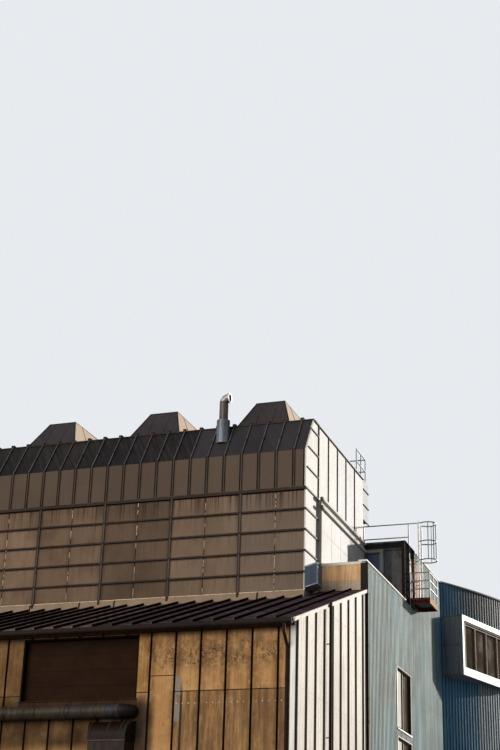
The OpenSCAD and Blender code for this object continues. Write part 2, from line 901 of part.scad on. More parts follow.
// Round duct that runs along the front wall and turns into it at each end, through a plate on the wall
module wall_duct() {
    d = 420;
    bend = 280;
    z = 8425;
    left = -9600;
    right = -3725;
    collar_l = 60;
    collar_rise = 18;
    end_gap = 15;
    plate = 600;
    plate_t = 20;
    // The bend stops inside the plate
    bend_angle = 88.5;
    collars = [left + end_gap, -7790, -6690, -5630, -4630, right - end_gap - collar_l];
    module elbow(turn) {
        rotate([0, 0, turn])
            rotate_extrude(angle = bend_angle, $fn = round_fn)
                translate([bend, 0])
                    circle(d = d, $fn = round_fn);
    }
    color(dark_metal) {
        translate([left, front_y - bend, z])
            rotate([0, 90, 0])
                cylinder(h = right - left, d = d, $fn = round_fn);
        for (x = collars)
            translate([x, front_y - bend, z])
                rotate([0, 90, 0])
                    cylinder(h = collar_l, d = d + 2 * collar_rise, $fn = round_fn);
        translate([left, front_y, z])
            elbow(180 + 90 - bend_angle);
        translate([right, front_y, z])
            elbow(270);
        for (x = [left - bend, right + bend])
            block([x - plate / 2, front_y - plate_t, z - plate / 2],
                  [x + plate / 2, front_y, z + plate / 2]);
    }
}

// Quarter-round cowl below the duct's end, with an open grey hood under it
module fan_box() {
    right = -3290;
    left = -4850;
    depth = 500;
    flare = 140;
    centre_z = 7640;
    step_z = 7500;
    low = 6700;
    inset = 20;
    hood_t = 40;
    // Plan that narrows away from the wall, drawn in from both sides by a margin
    module plan(margin, back) {
        polygon([
            [left + margin, back], [left + flare + margin, front_y - depth + margin],
            [right - flare - margin, front_y - depth + margin], [right - margin, back]
        ]);
    }
    color(dark_metal)
        intersection() {
            union() {
                translate([left, front_y, centre_z])
                    rotate([0, 90, 0])
                        cylinder(h = right - left, r = depth, $fn = round_fn);
                block([left, front_y - depth, step_z], [right, front_y, centre_z]);
            }
            translate([0, 0, step_z])
                linear_extrude(centre_z + depth - step_z)
                    plan(0, front_y);
        }
    color(galvanised)
        difference() {
            translate([0, 0, low])
                linear_extrude(step_z - low)
                    plan(inset, front_y);
            translate([0, 0, low - 1])
                linear_extrude(step_z - low - hood_t)
                    plan(inset + hood_t, front_y - hood_t);
        }
}

// Rear block

// Front and side of the penthouse, with a door in each and a sunk panel beside the front door
module penthouse_wall() {
    panel = [950, 1700];
    panel_head = 17400;
    panel_d = 60;
    color(dark_brown) {
        difference() {
            union() {
                block([0, penthouse_y, flat_roof_z - 200], [inner_right, penthouse_y + wall_t, wall_top_z]);
                block([inner_right - 1, penthouse_y, parapet_z], [side_w, penthouse_side_y, wall_top_z]);
            }
            block([penthouse_door_x, penthouse_y - 1, penthouse_floor_z],
                  [penthouse_door_x + penthouse_door_w, penthouse_y + wall_t + 1, penthouse_door_head]);
            block([panel[0], penthouse_y - 1, parapet_z + coping_h + 60],
                  [panel[1], penthouse_y + panel_d, panel_head]);
            block([inner_right - 1, landing_door_y, deck_z],
                  [side_w + 1, landing_door_y + landing_door_w, landing_door_head]);
        }
        block([0, penthouse_y - 40, wall_top_z], [side_w + 30, penthouse_side_y, rear_z]);
    }
}

// Landing of the ladder: plate, fascia channels and two brackets
module platform() {
    x0 = side_w;
    x1 = side_w + deck_w;
    plate_t = 60;
    channel = 70;
    low = deck_z - deck_t;
    color(rust_red)
        difference() {
            block([x0, deck_y0, low], [x1, deck_y1, deck_z]);
            block([x0 + channel, deck_y0 + channel, low - 1],
                  [x1 - channel, deck_y1 - channel, deck_z - plate_t]);
        }
}

module platform_rail() {
    x1 = side_w + deck_w - bar_t / 2;
    x0 = side_w + 60;
    y0 = deck_y0 + bar_t / 2;
    y1 = deck_y1 - bar_t / 2;
    posts = [[x0, y0], [x1, y0], [x1, (y0 + y1) / 2], [x1, y1]];
    color(galvanised) {
        for (p = posts)
            block([p.x - bar_t / 2, p.y - bar_t / 2, deck_z],
                  [p.x + bar_t / 2, p.y + bar_t / 2, deck_z + 1100]);
        for (h = [380, 730, 1080]) {
            square_bar([x0, y0, deck_z + h], [x1, y0, deck_z + h]);
            square_bar([x1, y0, deck_z + h], [x1, y1, deck_z + h]);
        }
    }
}

// Two stringers with round rungs, held off the wall by four stays
module ladder() {
    rung_pitch = 280;
    rung_d = 28;
    stringer_w = 60;
    stringer_t = 40;
    rungs = floor((ladder_top - deck_z - 400) / rung_pitch);
    color(galvanised) {
        for (y = ladder_ys) {
            block([ladder_x - stringer_w / 2, y - stringer_t / 2, deck_z],
                  [ladder_x + stringer_w / 2, y + stringer_t / 2, ladder_top]);
            for (z = [deck_z + 900, rear_z - 300])
                block([side_w - sheet_rib_d, y - stringer_t / 2, z],
                      [ladder_x, y + stringer_t / 2, z + 40]);
        }
        for (k = [1:rungs])
            bar([ladder_x, ladder_ys[0], deck_z + k * rung_pitch],
                [ladder_x, ladder_ys[1], deck_z + k * rung_pitch], rung_d);
    }
}

// Three hoops on arms from the stringers, joined by five straps
module ladder_cage() {
    hoops = [17400, 18220, 19040];
    hoop_h = 50;
    hoop_t = 14;
    arm_t = 20;
    arm_l = 133;
    stringer_face = ladder_x + 30;
    color(galvanised) {
        for (z = hoops) {
            for (y = ladder_ys)
                block([stringer_face, y - arm_t / 2, z - hoop_h / 2],
                      [ladder_x + arm_l, y + arm_t / 2, z + hoop_h / 2]);
            translate([ladder_x + cage_r, ladder_y, z - hoop_h / 2])
                difference() {
                    cylinder(h = hoop_h, r = cage_r, $fn = round_fn);
                    translate([0, 0, -1])
                        cylinder(h = hoop_h + 2, r = cage_r - hoop_t, $fn = round_fn);
                    block([-cage_r - 1, -ladder_gap / 2, -1], [-cage_r / 2, ladder_gap / 2, hoop_h + 1]);
                }
        }
        for (a = [-80:40:80])
            translate([ladder_x + cage_r, ladder_y, 0])
                rotate([0, 0, a])
                    block([cage_r - hoop_t - 2, -20, hoops[0] - hoop_h / 2],
                          [cage_r - 2, 20, hoops[2] + hoop_h / 2]);
    }
}

// Rails on the rear roof in line with the ladder head, and the guard at the hall's rear roof corner
module roof_rails() {
    rail_y = ladder_y - ladder_gap / 2 - 60;
    rail_zs = [18400, 19000];
    left = -2500;
    post_x = [left, -400, inner_right];
    guard_x = [-60, -760];
    guard_ys = [7600, 8350, 9100];
    guard_zs = [roof_edge_z + 550, roof_edge_z + 1100];
    color(galvanised) {
        for (x = post_x)
            block([x, rail_y, rear_roof_z], [x + bar_t, rail_y + bar_t, rail_zs[1]]);
        for (z = rail_zs)
            block([left, rail_y, z],
                  [z == rail_zs[1] ? ladder_x - bar_t : inner_right, rail_y + bar_t, z + bar_t]);
    }
    color(blue_grey) {
        for (y = guard_ys)
            block([guard_x[0] - bar_t, y, roof_edge_z], [guard_x[0], y + bar_t, guard_zs[1]]);
        block([guard_x[1] - bar_t, guard_ys[2], roof_edge_z],
              [guard_x[1], guard_ys[2] + bar_t, guard_zs[1]]);
        for (z = guard_zs) {
            block([guard_x[0] - bar_t, guard_ys[0], z], [guard_x[0], guard_ys[2] + bar_t, z + bar_t]);
            block([guard_x[1] - bar_t, guard_ys[2], z], [guard_x[0], guard_ys[2] + bar_t, z + bar_t]);
        }
    }
}

// Floor plan of the rear block inside its walls, with the wing's curved side
module rear_plan() {
    polygon(concat(
        [[inner_left, rear_front_y], [inner_right, rear_front_y]],
        inner_arc(),
        [[inner_left, back_y - wall_t]]));
}

module rear_roof() {
    color(charcoal) {
        translate([0, 0, rear_roof_z - rear_roof_t])
            linear_extrude(rear_roof_t)
                rear_plan();
    }
}

module rear_wall() {
    end_x = on_wing(wing_r, wing_end_angle).x;
    color(light_blue)
        difference() {
            linear_extrude(wall_top_z)
                polygon(concat(
                    [[inner_left, back_y - wall_t], [inner_left, back_y - sheet_rib_d]],
                    [for (p = sheet_ribs(inner_left, end_x - 100, sheet_rib_d))
                        [p.x, back_y - sheet_rib_d + p.y]],
                    [[end_x - 12, back_y - sheet_rib_d], on_wing(wing_r, wing_end_angle - 0.5)]));
            for (x = rear_window_x, k = [0:4])
                block([x, back_y - wall_t - 1, first_sill_z + k * storey_h],
                      [x + window_w, back_y + 1, first_sill_z + k * storey_h + window_h]);
        }
}

// The outline that the bay window takes out of the curved wall
module bay_outline() {
    polygon([bay_corner, bay_far, bay_far - bay_depth_in * bay_out, bay_corner - bay_depth_in * bay_out]);
}

module wing_wall() {
    first = wing_angle - 0.4;
    last = wing_end_angle + 0.5;
    ribs = floor((last - first) * PI / 180 * wing_r / sheet_pitch);
    step = (last - first) / ribs;
    outer = [for (i = [0:ribs - 1]) each [
        on_wing(wing_r - sheet_rib_d, first + (i + 0.3) * step), on_wing(wing_r, first + (i + 0.4) * step),
        on_wing(wing_r, first + (i + 0.75) * step), on_wing(wing_r - sheet_rib_d, first + (i + 0.85) * step)
    ]];
    arc = inner_arc();
    inner = concat([on_wing(wing_inner_r, last)], [for (i = [0:arc_steps]) arc[arc_steps - i]],
                   [on_wing(wing_inner_r, first)]);
    color(light_blue)
        difference() {
            intersection() {
                linear_extrude(wall_top_z)
                    polygon(concat(outer, inner));
                block([0, corner_y, -1], [far_x, back_y - wall_t, rear_z]);
            }
            translate([0, 0, bay_z])
                linear_extrude(bay_h)
                    bay_outline();
        }
}

// Box of the bay window: floor, lid and two sides, open to the room behind it
module bay_shell() {
    color(blue_grey)
        difference() {
            translate([0, 0, bay_z])
                linear_extrude(bay_h)
                    bay_outline();
            translate([0, 0, bay_z - 1])
                linear_extrude(bay_h + 2)
                    rear_plan();
            translate([0, 0, bay_z + bay_t])
                linear_extrude(bay_h - 2 * bay_t)
                    polygon([
                        bay_corner + bay_t * bay_dir + bay_out, bay_far - bay_t * bay_dir + bay_out,
                        bay_far - bay_t * bay_dir - 2 * bay_depth_in * bay_out,
                        bay_corner + bay_t * bay_dir - 2 * bay_depth_in * bay_out
                    ]);
        }
}

// White frame of the bay window: bands above and below, posts between the panes
module bay_frame() {
    h = bay_h - 2 * bay_t;
    rail_drop = 215;
    rail_h = 45;
    rail_d = [5, 55];
    rail_low = h - bay_head_t - rail_drop;
    color(white)
        on_bay_face() {
            difference() {
                block([bay_t, 0, 0], [bay_l - bay_t, bay_depth, h]);
                for (i = [0:bay_panes - 1])
                    block([bay_pane_x(i)[0], -1, bay_band_t],
                          [bay_pane_x(i)[1], bay_depth + 1, h - bay_head_t]);
            }
            for (i = [0:bay_panes - 1])
                block([bay_pane_x(i)[0] - 1, rail_d[0], rail_low],
                      [bay_pane_x(i)[1] + 1, rail_d[1], rail_low + rail_h]);
        }
}

// Inside

module floor_slabs() {
    color(concrete) {
        for (z = slab_levels)
            translate([0, 0, z - slab_t])
                linear_extrude(slab_t) {
                    rear_plan();
                    translate([0, parapet_y + wall_t])
                        square([inner_right, rear_front_y + 1 - parapet_y - wall_t]);
                }
        block([-3500, penthouse_y + wall_t, penthouse_floor_z - slab_t],
              [inner_right, 12500, penthouse_floor_z]);
    }
}

module column(x, y, z0, z1) {
    block([x, y, z0], [x + column_t, y + column_t, z1]);
}

module hall_columns() {
    tops = concat([for (z = slab_levels) z - slab_t], [rear_roof_z - rear_roof_t]);
    feet = concat([0], slab_levels);
    color(dark_metal) {
        for (x = column_x) {
            column(x, face_y, 0, girder_z);
            for (k = [0:4])
                column(x, rear_column_y, feet[k], tops[k]);
        }
        for (x = column_x)
            column(x, hall_d - column_t, 0, girder_z);
    }
}

module hall_girders() {
    color(dark_metal) {
        block([inner_left, face_y, girder_z], [0, face_y + column_t, hall_base_z]);
        block([inner_left, hall_d - column_t, girder_z], [0, hall_d, hall_base_z]);
        block([-column_t, face_y + column_t - 1, girder_z], [0, hall_d - column_t + 1, hall_base_z]);
    }
}

// Plain party wall at the left end, in the outline of all three parts
module party_wall() {
    color(concrete)
        along_x(-hall_w, inner_left)
            polygon([
                [front_y, 0], [front_y, roof_at(front_y)], [0, roof_at(0)], [0, bend_z],
                [slope_d, roof_edge_z], [hall_d + rear_box_d, roof_edge_z],
                [hall_d + rear_box_d, rear_z], [back_y - sheet_rib_d, rear_z], [back_y - sheet_rib_d, 0]
            ]);
}

in_frame() front_wall_right();
in_frame() front_wall_middle();
in_frame() front_wall_left();
in_frame() recess_panels();
in_frame() roller_shutter();
in_frame() steel_doors();
in_frame() white_side_wall();
in_frame() blue_side_wall();
in_frame() window_frames();
in_frame() window_glass();
in_frame() parapet_front();
in_frame() side_flashings();
in_frame() side_roof();
in_frame() lean_to_roof();
in_frame() front_gutter();
in_frame() downpipes();
in_frame() upper_front_wall();
in_frame() front_cladding_rails();
in_frame() mansard_slope();
in_frame() mansard_ribs();
in_frame() upper_side_wall();
in_frame() side_battens();
in_frame() upper_rear_wall();
in_frame() rear_eave_box();
in_frame() upper_roof();
in_frame() roof_monitors();
in_frame() gooseneck_vent();
in_frame() corner_hood();
in_frame() wall_duct();
in_frame() fan_box();
in_frame() penthouse_wall();
in_frame() platform();
in_frame() platform_rail();
in_frame() ladder();
in_frame() ladder_cage();
in_frame() roof_rails();
in_frame() rear_roof();
in_frame() rear_wall();
in_frame() wing_wall();
in_frame() bay_shell();
in_frame() bay_frame();
in_frame() floor_slabs();
in_frame() hall_columns();
in_frame() hall_girders();
in_frame() party_wall();
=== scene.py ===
"""Dress the metal-clad factory building and set it in a plain pale studio.

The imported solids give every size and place. This script gives each solid its
weathered finish, adds the small pieces that the solids leave out, such as
sheet laps, screws, sealant, clips and cover strips, and sets camera and lamps.

Places are given in metres from the building's own datum: X to the right of the
upper hall's right corner, Y behind its front line, Z above the ground.
"""

from __future__ import annotations

import json
import logging
import math
import random
from dataclasses import dataclass, field
from enum import Enum
from typing import ClassVar, Sequence, Union

import bmesh
import bpy
from mathutils import Matrix, Vector

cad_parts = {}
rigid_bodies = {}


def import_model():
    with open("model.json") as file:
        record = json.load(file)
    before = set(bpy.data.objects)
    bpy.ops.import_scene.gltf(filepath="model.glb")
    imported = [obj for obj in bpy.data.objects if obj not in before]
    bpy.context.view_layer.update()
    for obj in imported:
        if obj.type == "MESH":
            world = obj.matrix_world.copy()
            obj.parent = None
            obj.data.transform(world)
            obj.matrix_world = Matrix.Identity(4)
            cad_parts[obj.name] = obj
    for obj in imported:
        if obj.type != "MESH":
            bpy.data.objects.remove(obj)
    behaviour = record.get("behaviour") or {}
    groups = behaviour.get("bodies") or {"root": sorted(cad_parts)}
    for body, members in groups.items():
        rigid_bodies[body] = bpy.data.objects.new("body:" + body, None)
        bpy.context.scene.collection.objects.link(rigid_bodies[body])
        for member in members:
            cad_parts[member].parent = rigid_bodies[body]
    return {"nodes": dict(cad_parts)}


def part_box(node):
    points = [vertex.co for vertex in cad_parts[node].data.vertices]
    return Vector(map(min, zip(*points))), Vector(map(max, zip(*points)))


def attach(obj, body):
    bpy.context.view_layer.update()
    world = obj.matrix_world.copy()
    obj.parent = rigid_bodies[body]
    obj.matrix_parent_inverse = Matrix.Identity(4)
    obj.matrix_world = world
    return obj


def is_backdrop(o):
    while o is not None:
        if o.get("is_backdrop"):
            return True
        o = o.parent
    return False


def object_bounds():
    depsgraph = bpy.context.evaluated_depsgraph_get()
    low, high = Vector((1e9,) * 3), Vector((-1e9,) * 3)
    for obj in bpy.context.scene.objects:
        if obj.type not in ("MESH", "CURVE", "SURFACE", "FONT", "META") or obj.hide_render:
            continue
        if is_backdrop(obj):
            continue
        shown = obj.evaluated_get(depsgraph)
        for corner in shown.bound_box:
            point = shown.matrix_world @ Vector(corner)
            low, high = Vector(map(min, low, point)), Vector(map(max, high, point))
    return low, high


log = logging.getLogger("factory_building")

Colour = Union[str, tuple[float, float, float]]
Point = Sequence[float]
Flat = tuple[float, float]
Rect = tuple[float, float, float, float]
Socket = bpy.types.NodeSocket
Value = Union[float, Socket]


def linear(seen: str) -> tuple[float, float, float]:
    """Turn a colour as seen into the linear colour that a shader takes.

    Args:
        seen: Red, green and blue, each as two hexadecimal digits.

    Returns:
        The linear colour.
    """
    parts = (int(seen[i:i + 2], 16) / 255 for i in (0, 2, 4))
    return tuple(p / 12.92 if p <= 0.04045 else ((p + 0.055) / 1.055) ** 2.4 for p in parts)


class Graph:
    """Short way to add and join the nodes of one tree."""

    def __init__(self, tree: bpy.types.NodeTree) -> None:
        """Keep the tree that the nodes go into."""
        self.tree = tree

    def node(self, kind: str, inputs: dict | None = None, **settings: object) -> bpy.types.Node:
        """Add a node, set its options and feed its inputs.

        Args:
            kind: The node's type, without the ShaderNode in front.
            inputs: Values or sockets by input name or number.
            settings: Options of the node.

        Returns:
            The new node.
        """
        made = self.tree.nodes.new("ShaderNode" + kind)
        for name, value in settings.items():
            setattr(made, name, value)
        for key, value in (inputs or {}).items():
            self.feed(made.inputs[key], value)
        return made

    def feed(self, socket: Socket, value: object) -> None:
        """Join a socket to an input, or set the input to a plain value or colour."""
        if isinstance(value, bpy.types.NodeSocket):
            self.tree.links.new(value, socket)
        elif socket.type == "RGBA":
            socket.default_value = (*(linear(value) if isinstance(value, str) else value), 1.0)
        else:
            socket.default_value = value

    def math(self, kind: str, a: Value, b: Value = 0.0, clamp: bool = False) -> Socket:
        """Work out a value from one or two others."""
        return self.node("Math", {0: a, 1: b}, operation=kind, use_clamp=clamp).outputs[0]

    def vector(self, kind: str, a: Socket, b: object) -> Socket:
        """Work out a vector from two others."""
        return self.node("VectorMath", {0: a, 1: b}, operation=kind).outputs[0]

    def times(self, *values: Value) -> Socket:
        """Multiply several values."""
        made = values[0]
        for value in values[1:]:
            made = self.math("MULTIPLY", made, value)
        return made

    def mix(self, factor: Value, a: object, b: object, kind: str = "MIX") -> Socket:
        """Blend two colours."""
        return self.node("Mix", {0: factor, 6: a, 7: b}, data_type="RGBA", blend_type=kind).outputs[2]

    def lay(self, colour: object, tint: object, *masks: Value) -> Socket:
        """Lay a tint over a colour where all the masks meet."""
        return self.mix(self.times(*masks), colour, tint)

    def smooth(self, value: Socket, low: float, high: float) -> Socket:
        """Rise softly from 0 to 1 between low and high, or fall where low is the higher."""
        ends = (low, high, 0.0, 1.0) if low < high else (high, low, 1.0, 0.0)
        made = self.node("MapRange", dict(enumerate((value, *ends))), interpolation_type="SMOOTHSTEP")
        return made.outputs[0]

    def between(self, value: Socket, low: float, high: float, soft: float) -> Socket:
        """Give 1 where a value lies between two others, with soft ends."""
        rise = self.smooth(value, low - soft, low + soft)
        return self.times(rise, self.smooth(value, high + soft, high - soft))

    def noise(self, place: Socket, scale: Value, detail: float = 3.0, rough: float = 0.55,
              **more: float) -> Socket:
        """Give a noise value between 0 and 1."""
        inputs = {"Vector": place, "Scale": scale, "Detail": detail, "Roughness": rough, **more}
        return self.node("TexNoise", inputs).outputs["Fac"]

    def split(self, vector: Socket) -> tuple[Socket, Socket, Socket]:
        """Take a vector apart."""
        return tuple(self.node("SeparateXYZ", {0: vector}).outputs)

    def join(self, x: Value, y: Value, z: Value) -> Socket:
        """Put a vector together."""
        return self.node("CombineXYZ", {0: x, 1: y, 2: z}).outputs[0]


class Effect(Enum):
    """Effects that several finishes share: the group's name, its numbers and its outputs."""

    RUNS = ("rain_runs", ("Width", "Length", "Amount"), ("Mask",))
    HANGING = ("stains_below_a_rail", ("Top", "Reach", "Width"), ("Mask",))
    PANELS = ("panel_tones", ("Start", "Pitch", "Foot", "Course"), ("Tone", "Joint", "Edge"))
    BLOTCHES = ("blotches", ("Size",), ("Mask",))
    FOOT = ("ground_splash", ("Height",), ("Mask",))
    GRAIN = ("paint_grain", ("Scale",), ("Fine", "Wave"))
    CURLS = ("curled_stains", ("Scale",), ("Mask",))


class EffectGroup(Graph):
    """The node group of one effect, with its inputs at hand."""

    def __init__(self, effect: Effect) -> None:
        """Open the group and build the effect in it.

        Args:
            effect: The effect that the group makes.
        """
        name, numbers, outputs = effect.value
        super().__init__(bpy.data.node_groups.new(name, "ShaderNodeTree"))
        sockets = [("Position", "INPUT", "Vector"), *((n, "INPUT", "Float") for n in numbers)]
        for label, side, kind in (*sockets, *((n, "OUTPUT", "Float") for n in outputs)):
            self.tree.interface.new_socket(label, in_out=side, socket_type="NodeSocket" + kind)
        given = self.tree.nodes.new("NodeGroupInput").outputs
        self.out = self.tree.nodes.new("NodeGroupOutput").inputs
        self.position = given["Position"]
        x, y, self.z = self.split(self.position)
        self.along = self.math("ADD", x, y)
        getattr(self, effect.name.lower())(*(given[n] for n in numbers))

    def give(self, value: Socket, name: str = "Mask") -> None:
        """Lead a value to one of the group's outputs."""
        self.feed(self.out[name], value)

    def runs(self, width: Socket, length: Socket, amount: Socket) -> None:
        """Draw long runs of rain water down a wall."""
        wide, tall = self.math("DIVIDE", self.along, width), self.math("DIVIDE", self.z, length)
        fine = self.noise(self.join(wide, 0.0, tall), 1.0, 4.0, 0.6)
        patch = self.noise(self.position, 0.35, 2.0)
        self.give(self.times(self.smooth(self.math("ADD", fine, self.times(patch, 0.5)), 0.68, 0.92), amount))

    def hanging(self, top: Socket, reach: Socket, width: Socket) -> None:
        """Draw stains that hang down below a rail and fade out at different depths."""
        wide = self.math("DIVIDE", self.along, width)
        spot = self.smooth(self.noise(self.join(wide, 0.0, 0.0), 1.0, 3.0, 0.7), 0.48, 0.62)
        depth = self.noise(self.join(wide, 7.0, 0.0), 0.35, 2.0)
        reach = self.times(reach, self.math("ADD", depth, 0.3))
        below = self.math("SUBTRACT", top, self.z)
        fade = self.math("SUBTRACT", 1.0, self.math("DIVIDE", below, reach), clamp=True)
        self.give(self.times(spot, fade, self.math("GREATER_THAN", below, 0.0)))

    def panels(self, start: Socket, pitch: Socket, foot: Socket, course: Socket) -> None:
        """Give each sheet a tone of its own, and mask the dirt along the joints."""
        column = self.math("DIVIDE", self.math("SUBTRACT", self.along, start), pitch)
        row = self.math("DIVIDE", self.math("SUBTRACT", self.z, foot), course)
        cell = self.join(self.math("FLOOR", column), self.math("FLOOR", row), 0.5)
        tone = self.node("TexWhiteNoise", {"Vector": cell}, noise_dimensions="3D").outputs["Value"]
        self.give(tone, "Tone")
        off = self.math("ABSOLUTE", self.math("SUBTRACT", self.math("FRACT", column), 0.5))
        metres = self.times(self.math("SUBTRACT", 0.5, off), pitch)
        self.give(self.smooth(metres, 0.07, 0.0), "Joint")
        uneven = self.noise(self.join(self.times(self.along, 4.0), 0.0, self.z), 0.9, 4.0)
        self.give(self.times(self.smooth(metres, 0.26, 0.02), self.smooth(uneven, 0.3, 0.62)), "Edge")

    def blotches(self, size: Socket) -> None:
        """Draw soft uneven patches."""
        scaled = self.vector("DIVIDE", self.position, self.join(size, size, size))
        self.give(self.smooth(self.noise(scaled, 1.0, 5.0), 0.38, 0.68))

    def foot(self, height: Socket) -> None:
        """Splash dirt up from the ground."""
        edge = self.noise(self.join(self.times(self.along, 3.0), 0.0, self.z), 1.0, 4.0)
        level = self.math("DIVIDE", self.z, height)
        self.give(self.smooth(self.math("SUBTRACT", self.math("ADD", edge, 0.35), level), 0.0, 0.8))

    def grain(self, scale: Socket) -> None:
        """Draw the fine grain of old paint, and the slow waves of a thin sheet."""
        inputs = {0: self.position, "Scale": scale}
        scaled = self.node("VectorMath", inputs, operation="SCALE").outputs[0]
        self.give(self.noise(scaled, 6.0, 6.0, 0.65), "Fine")
        self.give(self.noise(scaled, 0.5, 2.0), "Wave")

    def curls(self, scale: Socket) -> None:
        """Draw the curled dark lines that dried stains leave."""
        bent = self.noise(self.position, scale, 3.0, 0.5, Distortion=1.6)
        lines = self.smooth(self.math("ABSOLUTE", self.math("SUBTRACT", bent, 0.5)), 0.03, 0.006)
        self.give(self.times(lines, self.smooth(self.noise(self.position, 1.4, 3.0), 0.34, 0.5)))


class Workshop:
    """The building's datum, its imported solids, and the groups and materials made so far."""

    def __init__(self, nodes: dict) -> None:
        """Find the datum from the hall's side wall, and build the shared effects.

        Args:
            nodes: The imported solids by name.
        """
        self.nodes = nodes
        low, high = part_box("upper_side_wall")
        face_set_back = 0.06
        self.datum = Vector((high.x, low.y - face_set_back, 0.0))
        self.groups = {effect: EffectGroup(effect).tree for effect in Effect}
        self.made: dict[str, bpy.types.Material] = {}

    def material(self, finish: Finish) -> bpy.types.Material:
        """Give a finish's material, made the first time that it is asked for."""
        if finish.name not in self.made:
            self.made[finish.name] = finish.build(self)
        return self.made[finish.name]


class Coat(Graph):
    """The nodes of one material, whose textures are placed from the building's datum."""

    def __init__(self, name: str, workshop: Workshop) -> None:
        """Open the material.

        Args:
            name: Name of the material.
            workshop: The datum and the shared effects.
        """
        self.material = bpy.data.materials.new(name)
        self.material.use_nodes = True
        super().__init__(self.material.node_tree)
        self.tree.nodes.clear()
        self.groups = workshop.groups
        place = self.node("TexCoord").outputs["Object"]
        self.position = self.vector("SUBTRACT", place, tuple(workshop.datum))
        self.x, self.y, self.z = self.split(self.position)

    def effect(self, effect: Effect, *numbers: Value, at: Socket | None = None) -> Sequence[Socket]:
        """Place a shared effect and give its outputs.

        Args:
            effect: The effect.
            numbers: Its numbers, in the order that the effect lists them.
            at: Position of its own, in place of the datum's.

        Returns:
            The outputs, in the order that the effect lists them.
        """
        made = self.tree.nodes.new("ShaderNodeGroup")
        made.node_tree = self.groups[effect]
        for socket, value in zip(made.inputs, (at or self.position, *numbers)):
            self.feed(socket, value)
        return made.outputs

    def facing(self, axis: int) -> Socket:
        """Say how far a face looks along an axis, from -1 to 1."""
        return self.split(self.node("NewGeometry").outputs["True Normal"])[axis]

    def close(self, **inputs: object) -> bpy.types.Material:
        """Join a shader with these inputs to the output and give the material."""
        shader = self.node("BsdfPrincipled", {key.replace("_", " "): value for key, value in inputs.items()})
        self.node("OutputMaterial", {"Surface": shader.outputs[0]})
        return self.material


Band = tuple[str, float, float, Colour, float]
StainAndShadowPatch = tuple[float, float, float, float, Colour, float]


@dataclass(frozen=True)
class Sheet:
    """Painted metal sheeting that has stood in the weather.

    Attributes:
        name: Name of the material.
        slot: Material slot of the record.
        colours: Colour of most sheets, colour that others have, and colour of dirt and runs.
        panel: Start along the wall and pitch of the sheets.
        course: Start height and height of one course.
        tone: How much the sheets differ, 0 to 1.
        joint: Strength of the dirt along the joints, 0 to 1.
        runs: Strength of the water runs, 0 to 1.
        run_size: Width and length of a run.
        foot: Strength of the splash dirt near the ground, 0 to 1.
        rough: Lowest and highest roughness.
        metal: Metallic share.
        wave: Height of the sheet's waves.
        gloss: Specular level.
        edge: Strength of the wide worn edges of each sheet, 0 to 1.
        bands: Stretches along x, y or z that have another colour: axis, start, end, colour, share.
        tall: Share by which the height counts in the patches; less than 1 draws them out upwards.
    """

    name: str
    slot: str
    colours: str
    panel: Flat = (0.0, 1.0)
    course: Flat = (0.0, 3.0)
    tone: float = 0.5
    joint: float = 0.0
    runs: float = 0.5
    run_size: Flat = (0.12, 2.2)
    foot: float = 0.4
    rough: Flat = (0.6, 0.85)
    metal: float = 0.0
    wave: float = 0.004
    gloss: float = 0.07
    edge: float = 0.0
    bands: tuple[Band, ...] = ()
    tall: float = 1.0

    @property
    def dirt(self) -> Colour:
        """Colour of dirt and water runs."""
        return self.colours.split()[2]

    def build(self, workshop: Workshop) -> bpy.types.Material:
        """Make the material.

        Args:
            workshop: The datum and the shared effects.

        Returns:
            The finished material.
        """
        patch_size, splash_height, grain_scale, speck_height = 1.7, 1.6, 4.0, 0.06
        coat = Coat(self.name, workshop)
        base, second, dirt = self.colours.split()
        tone, joint, edge = coat.effect(Effect.PANELS, *self.panel, *self.course)
        drawn = coat.vector("MULTIPLY", coat.position, (1.0, 1.0, self.tall))
        blotch = coat.effect(Effect.BLOTCHES, patch_size * self.tall ** 0.5, at=drawn)[0]
        drift = coat.times(coat.math("ADD", tone, blotch), self.tone * 0.6)
        colour = coat.mix(coat.math("MINIMUM", drift, 1.0), base, second)
        for axis, low, high, tint, share in self.bands:
            colour = coat.lay(colour, tint, coat.between(getattr(coat, axis), low, high, 0.006), share)
        colour = coat.lay(colour, dirt, edge, self.edge)
        colour = coat.lay(colour, dirt, joint, self.joint)
        colour = coat.lay(colour, dirt, coat.effect(Effect.RUNS, *self.run_size, self.runs)[0])
        colour = self.marks(coat, colour)
        colour = coat.lay(colour, dirt, coat.effect(Effect.FOOT, splash_height)[0], self.foot)
        fine, wave = coat.effect(Effect.GRAIN, grain_scale)
        speck = coat.smooth(fine, 0.25, 0.75)
        shade = coat.mix(speck, (0.35, 0.35, 0.35), (0.65, 0.65, 0.65))
        height = coat.math("ADD", wave, coat.times(speck, speck_height))
        bump = coat.node("Bump", {"Strength": 0.6, "Distance": self.wave * 4, "Height": height})
        return coat.close(
            Base_Color=coat.mix(0.22, colour, shade, "OVERLAY"), Metallic=self.metal,
            Specular_IOR_Level=self.gloss, Normal=bump.outputs[0],
            Roughness=coat.node("MapRange", {0: speck, 3: self.rough[0], 4: self.rough[1]}).outputs[0])

    def marks(self, coat: Coat, colour: Socket) -> Socket:
        """Add the marks that only this finish has; a plain sheet has none."""
        return colour


